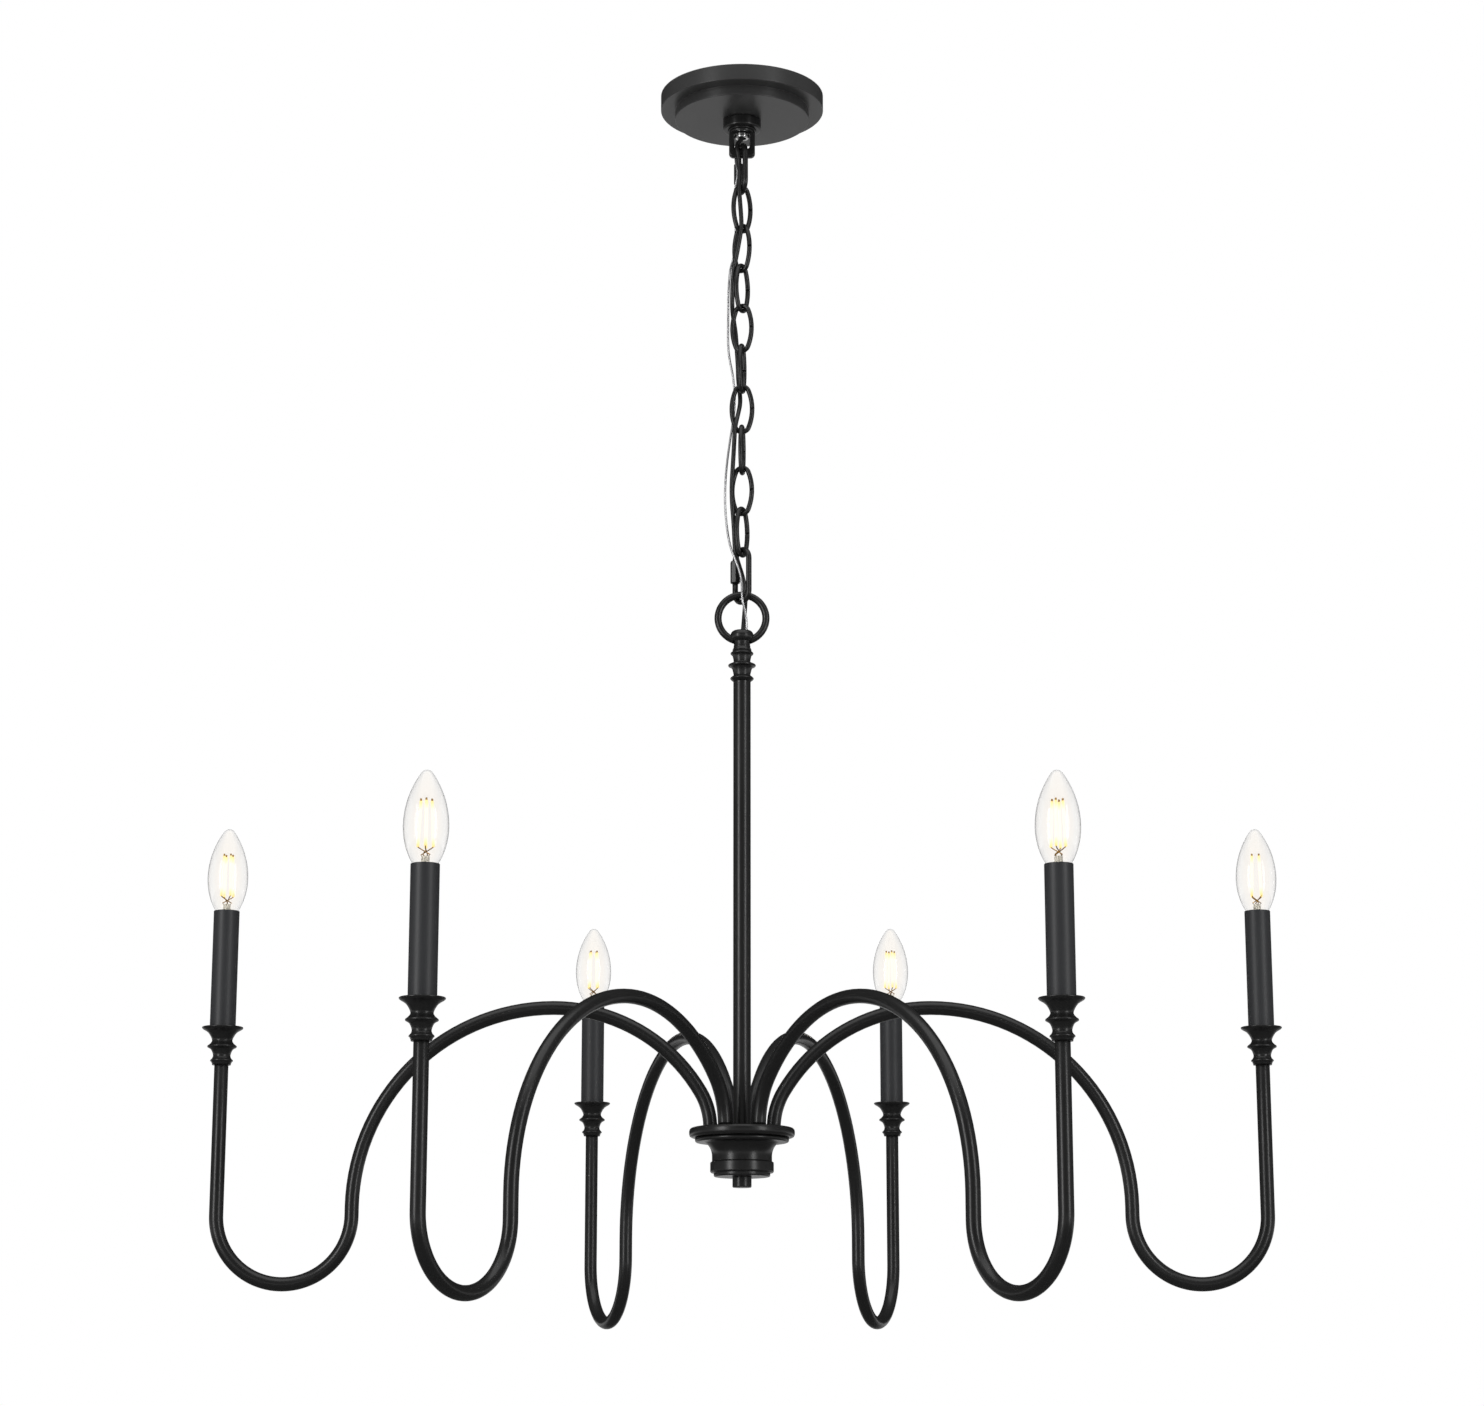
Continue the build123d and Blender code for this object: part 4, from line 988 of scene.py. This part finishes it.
def arm_line(rise):
    """Centre line of an arm, as distance from the axis and height above the plate."""
    top = ARM_TOP_HEIGHT + rise * ARM_TOP_R / CANDLE_R
    trough = ARM_TROUGH_HEIGHT + rise * (ARM_LEG_R + CANDLE_R) / 2 / CANDLE_R
    reach = ARM_TOP_R - ARM_FOOT_R - ARM_FOOT_BEND
    shoulder = (reach**2 + top**2 - ARM_FOOT_BEND**2) / (2 * (top - ARM_FOOT_BEND))
    foot_turn = 180 - degrees(atan2(shoulder - top, -reach))
    fall = ARM_LEG_R - ARM_TOP_R
    return walk((ARM_FOOT_R, 0), 90, [
        ("arc", ARM_FOOT_BEND, -foot_turn),
        ("arc", shoulder, foot_turn - 90),
        ("arc", fall, -90),
        ("run", top - fall - trough, 0),
        ("arc", (CANDLE_R - ARM_LEG_R) / 2, 180),
        ("run", CUP_SEAT_HEIGHT - CUP_HEIGHT + rise - trough, 0),
    ])


for number, (azimuth, rise) in enumerate(ARMS, start=1):
    points = [outward(azimuth) * p.x + Vector((0, 0, PLATE_TOP + p.y)) for p in arm_line(rise)]
    tube = bmesh.new()
    add_tube(tube, points, ARM_R)
    fit(build(f"bent_arm_{number}", tube), "fixture", satin_black, f"arm_{number}")
print("arms", len(ARMS), "tube length", round(sum((b - a).length for a, b in zip(points, points[1:])), 4))

# %% [markdown]
# A candle cup is turned like a spool: a thin flared rim, a waist, a sharp bead, a neck and a ring on a
# foot. Its outline is given as radius and height below the rim, from the rim down. The sleeve that stands
# in it is a plain tube. One mesh of each serves all six candles.

# %% Cups and sleeves
CUP_RIM = [(0.0171, 0), (0.0175, -0.0004), (0.0174, -0.0011)]
CUP_WAIST = [(0.0165, -0.0020), (0.0119, -0.0051), (0.00875, -0.0107), (0.0096, -0.0137), (0.0123, -0.0161)]
CUP_BEAD = [(0.0125, -0.0165), (0.0125, -0.0171)]
CUP_NECK = [(0.0122, -0.0175), (0.0092, -0.0195), (0.00745, -0.0239), (0.0080, -0.0266), (0.0094, -0.0282)]
CUP_RING = [(0.0096, -0.0285), (0.0096, -0.0292), (0.0093, -0.0295)]
CUP_FOOT = [(0.0087, -0.0297), (0.0085, -0.0306), (0.0080, -0.0314), (0.0080, -CUP_HEIGHT)]
TAIL_R = 0.0042
SLEEVE_R = 0.0110
SLEEVE_BORE_R = 0.0102
SLEEVE_HEIGHT = 0.1003
SLEEVE_FOOT_EDGE = 0.0002
CANDLE_STEPS = 64

cup_section = [(TAIL_R, 0)] + CUP_RIM + flow(CUP_WAIST) + CUP_BEAD + flow(CUP_NECK)
cup_section += CUP_RING + CUP_FOOT + [(TAIL_R, -CUP_HEIGHT)]
sleeve_section = soften([
    (SLEEVE_BORE_R, 0, 0),
    (SLEEVE_R, 0, SLEEVE_FOOT_EDGE),
    (SLEEVE_R, SLEEVE_HEIGHT, FINE_EDGE),
    (SLEEVE_BORE_R, SLEEVE_HEIGHT, FINE_EDGE),
])
candles = []
for azimuth, rise in ARMS:
    seat_z = PLATE_TOP + CUP_SEAT_HEIGHT + rise
    candles.append((outward(azimuth) * CANDLE_R + Vector((0, 0, seat_z)), azimuth))


def at_each_candle(stem, mesh, lift, body, finish, node, flats=True):
    """Places a mesh at the six candles, turned as each arm is, and fits every copy."""
    for number, (seat, azimuth) in enumerate(candles, start=1):
        piece = to_object(f"{stem}_{number}", mesh, flats)
        piece.location = seat + Vector((0, 0, lift))
        piece.rotation_euler.z = radians(azimuth)
        fit(piece, body.format(number), finish, f"{node}_{number}")


cup_mesh = turned_mesh("turned_cup", cup_section, CANDLE_STEPS)
sleeve_mesh = turned_mesh("plain_sleeve", sleeve_section, CANDLE_STEPS)
at_each_candle("turned_cup", cup_mesh, 0, "fixture", satin_black, "candle_cup")
at_each_candle("plain_sleeve", sleeve_mesh, 0, "fixture", sleeve_black, "candle_sleeve")
print("cups and sleeves at", len(candles), "candles, height", round(CUP_HEIGHT + SLEEVE_HEIGHT, 4))

# %% [markdown]
# The bulbs are clear candle bulbs. The glass is a thin turned shell with an inside and an outside, so light
# bends at both. In it a short stalk of milky glass carries four light strips on fine wires.

# %% Glass and light
GLASS_IOR = 1.45
GLASS_GLEAM = 0.25
# The glass colour is painted: a faint warm painted glow in the middle and painted shade towards the
# outline.
MIDDLE_PAINTED_GLOW = (0.982, 0.962, 0.935, 1)
PAINTED_GLOW_END = 0.12
EDGE_PAINTED_SHADE = (0.20, 0.21, 0.22, 1)
EDGE_BLEND = 0.5
PAINTED_SHADE_STEPS = ((0.35, 0.96), (0.65, 0.925), (0.80, 0.70), (0.93, 0.45))
STRIP_BASE = (0.12, 0.10, 0.05, 1)
STRIP_GLOW = 1.1
STRIP_END_COLOUR = (1.0, 0.78, 0.28, 1)
STRIP_COLOUR = (1.0, 0.97, 0.84, 1)
STRIP_COLOUR_REACH = (0.20, 0.80)

clear_glass, glass_nodes, glass_links, glass_shader = new_finish("clear_glass")
glass_shader.inputs["Roughness"].default_value = 0.0
glass_shader.inputs["IOR"].default_value = GLASS_IOR
glass_shader.inputs["Transmission Weight"].default_value = 1.0
glass_shader.inputs["Specular Tint"].default_value = grey(GLASS_GLEAM)
# Painted shade: the glass colour turns dark grey towards the bulb's outline, and a painted warm glow tints
# its middle.
edge = glass_nodes.new("ShaderNodeLayerWeight")
edge.inputs["Blend"].default_value = EDGE_BLEND
painted_edge_shade = glass_nodes.new("ShaderNodeValToRGB")
painted_edge_shade.color_ramp.elements[0].color = MIDDLE_PAINTED_GLOW
painted_edge_shade.color_ramp.elements[0].position = PAINTED_GLOW_END
painted_edge_shade.color_ramp.elements[1].color = EDGE_PAINTED_SHADE
for position, shade in PAINTED_SHADE_STEPS:
    painted_shade_step = painted_edge_shade.color_ramp.elements.new(position)
    painted_shade_step.color = grey(shade)
glass_links.new(edge.outputs["Facing"], painted_edge_shade.inputs["Fac"])
glass_links.new(painted_edge_shade.outputs["Color"], glass_shader.inputs["Base Color"])

light_strip, strip_nodes, strip_links, strip_shader = new_finish("light_strip")
strip_shader.inputs["Base Color"].default_value = STRIP_BASE
strip_shader.inputs["Emission Strength"].default_value = STRIP_GLOW
strip_place = strip_nodes.new("ShaderNodeTexCoord")
strip_split = strip_nodes.new("ShaderNodeSeparateXYZ")
strip_links.new(strip_place.outputs["Generated"], strip_split.inputs[0])
warmth = strip_nodes.new("ShaderNodeValToRGB")
for end in warmth.color_ramp.elements:
    end.color = STRIP_END_COLOUR
for position in STRIP_COLOUR_REACH:
    warm = warmth.color_ramp.elements.new(position)
    warm.color = STRIP_COLOUR
strip_links.new(strip_split.outputs["Z"], warmth.inputs["Fac"])
strip_links.new(warmth.outputs["Color"], strip_shader.inputs["Emission Color"])
gold_wire = coated(
    "gold_wire", (0.26, 0.14, 0.04), (0.40, 0.24, 0.07), 0.35,
    WIRE_GRAIN, FAINT_BUMP, metallic=1.0, spread=0.2,
)
milk_glass = coated("milk_glass", (0.80, 0.77, 0.66), (0.90, 0.87, 0.78), 0.20, bump=FAINT_BUMP)
print("bulb finishes ready")

# %% Bulbs
BULB_R = 0.0173
BULB_MIDDLE = 0.0284
BULB_TIP = 0.0719
BULB_TIP_ANGLE = 35.0
BULB_NECK_R = 0.0096
BULB_BOTTOM = -0.0100
BULB_BOTTOM_R = 0.0084
BULB_FLOOR = -0.0050
BULB_WALL = 0.0004
BULB_SIDE_STEPS = 20
BULB_TIP_STEPS = 14


def bulb_side(wall):
    """Side of a bulb from its neck to its tip, moved in by a wall."""
    angle = radians(BULB_TIP_ANGLE)
    tip_share = (1 - sin(angle)) / cos(angle)
    side_r = (BULB_TIP - BULB_MIDDLE - BULB_R * tip_share) / (sin(angle) - (1 - cos(angle)) * tip_share)
    tip_r = (BULB_R - side_r * (1 - cos(angle))) / cos(angle)
    neck_in = BULB_R - BULB_NECK_R
    belly_r = (neck_in**2 + BULB_MIDDLE**2) / (2 * neck_in)
    belly_angle = degrees(atan2(BULB_MIDDLE, belly_r - neck_in))
    side = arc((BULB_R - belly_r, BULB_MIDDLE), belly_r - wall, -belly_angle, 0, BULB_SIDE_STEPS)
    side += arc((BULB_R - side_r, BULB_MIDDLE), side_r - wall, 0, BULB_TIP_ANGLE, BULB_SIDE_STEPS)[1:]
    side += arc((0, BULB_TIP - tip_r), tip_r - wall, BULB_TIP_ANGLE, 90, BULB_TIP_STEPS)[1:-1]
    return side + [(0, BULB_TIP - wall)]


glass_section = [(0, BULB_BOTTOM), (BULB_BOTTOM_R, BULB_BOTTOM)] + bulb_side(0)
inside = [(BULB_BOTTOM_R - BULB_WALL, BULB_FLOOR)] + bulb_side(BULB_WALL)
glass_section += list(reversed(inside)) + [(0, BULB_FLOOR)]
shell_mesh = turned_mesh("bulb_shell", glass_section, steps=96)
at_each_candle("bulb_shell", shell_mesh, SLEEVE_HEIGHT, "bulb_{}", clear_glass, "bulb_glass", flats=False)
print("bulb section", len(glass_section), "points")

# %% Screw caps
CAP_R = 0.0070
CAP_LENGTH = 0.0250
CAP_SIDES = 48
THREAD_PITCH = 0.0028
THREAD_DEPTH = 0.0004
THREAD_ROWS = 48
THREAD_FADE = 6
CONTACT_EDGES = ((0.0042, 0.0006), (0.0030, 0.0008), (0.0024, 0.0020))


def cap_mesh():
    """A rolled screw cap with a thread that winds down it and a contact at its bottom."""
    rolled = bmesh.new()
    rings = []
    for step in range(THREAD_ROWS + 1):
        z = BULB_BOTTOM - CAP_LENGTH * step / THREAD_ROWS
        fade = min(1, step / THREAD_FADE, (THREAD_ROWS - step) / THREAD_FADE)
        ring = []
        for a in turn_angles(CAP_SIDES):
            wave = cos(2 * pi * z / THREAD_PITCH - a)
            r = CAP_R - THREAD_DEPTH * (0.5 + 0.5 * wave * fade)
            ring.append(rolled.verts.new((r * cos(a), r * sin(a), z)))
        rings.append(ring)
    rings += [ring_of(rolled, r, BULB_BOTTOM - CAP_LENGTH - drop, CAP_SIDES) for r, drop in CONTACT_EDGES]
    skin(rolled, rings[::-1], closed=False)
    rolled.faces.new(rings[0])
    rolled.faces.new(rings[-1][::-1])
    return to_mesh("screw_cap", rolled)


at_each_candle("screw_cap", cap_mesh(), SLEEVE_HEIGHT, "bulb_{}", cap_nickel, "bulb_cap")
print("cap length", CAP_LENGTH)

# %% [markdown]
# The wires cross between the strips and the stalk: each comes from the far side of the stalk and passes
# beside the middle. A short stub of wire ends every strip at the top.

# %% Light strips, wires and stalk
STRIP_COUNT = 4
STRIP_START = 36
STRIP_BOTTOM = 0.0130
STRIP_TOP = 0.0480
STRIP_R = 0.0011
STRIP_LOW_SPREAD = 0.0058
STRIP_HIGH_SPREAD = 0.0042
STUB_LENGTH = 0.0018
STUB_R = 0.7 * STRIP_R
STALK_R = 0.0032
STALK_TOP = 0.0062
STALK_FLARE_R = 1.6 * STALK_R
STALK_FLARE_TOP = 0.0
STALK_FLARE_EDGE = 0.002
STALK_TOP_EDGE = 0.001
WIRE_R = 0.00042
WIRE_SINK = 0.0008
WIRE_FOOT_R = 0.7 * STALK_R
CROSS_SPREAD = 0.0039
CROSS_TOP = 0.0116
CROSS_TURN = 155

strips = bmesh.new()
wires = bmesh.new()
for number in range(STRIP_COUNT):
    strip_side = outward(STRIP_START + 360 / STRIP_COUNT * number)
    far_side = outward(STRIP_START + 360 / STRIP_COUNT * number + CROSS_TURN)
    low = strip_side * STRIP_LOW_SPREAD + Vector((0, 0, STRIP_BOTTOM))
    high = strip_side * STRIP_HIGH_SPREAD + Vector((0, 0, STRIP_TOP))
    add_tube(strips, [low, high], STRIP_R, sides=12)
    shoulder = strip_side * CROSS_SPREAD + Vector((0, 0, CROSS_TOP))
    elbow = far_side * CROSS_SPREAD + Vector((0, 0, STALK_TOP + WIRE_SINK))
    foot = far_side * WIRE_FOOT_R + Vector((0, 0, STALK_TOP - WIRE_SINK))
    add_tube(wires, [foot, elbow, shoulder, low], WIRE_R, sides=8)
    add_tube(wires, [high, high + Vector((0, 0, STUB_LENGTH))], STUB_R, sides=8)
strip_mesh = to_mesh("light_strips", strips)
wire_mesh = to_mesh("strip_wires", wires)
at_each_candle("light_strips", strip_mesh, SLEEVE_HEIGHT, "bulb_{}", light_strip, "bulb_filament")
at_each_candle("strip_wires", wire_mesh, SLEEVE_HEIGHT, "bulb_{}", gold_wire, "bulb_filament")
stalk_section = soften([
    (0, BULB_FLOOR, 0),
    (STALK_FLARE_R, BULB_FLOOR, 0),
    (STALK_R, STALK_FLARE_TOP, STALK_FLARE_EDGE),
    (STALK_R, STALK_TOP, STALK_TOP_EDGE),
    (0, STALK_TOP, 0),
])
stalk_mesh = turned_mesh("glass_stalk", stalk_section, steps=32)
at_each_candle("glass_stalk", stalk_mesh, SLEEVE_HEIGHT, "bulb_{}", milk_glass, "bulb_filament")
print("strips per bulb", STRIP_COUNT)
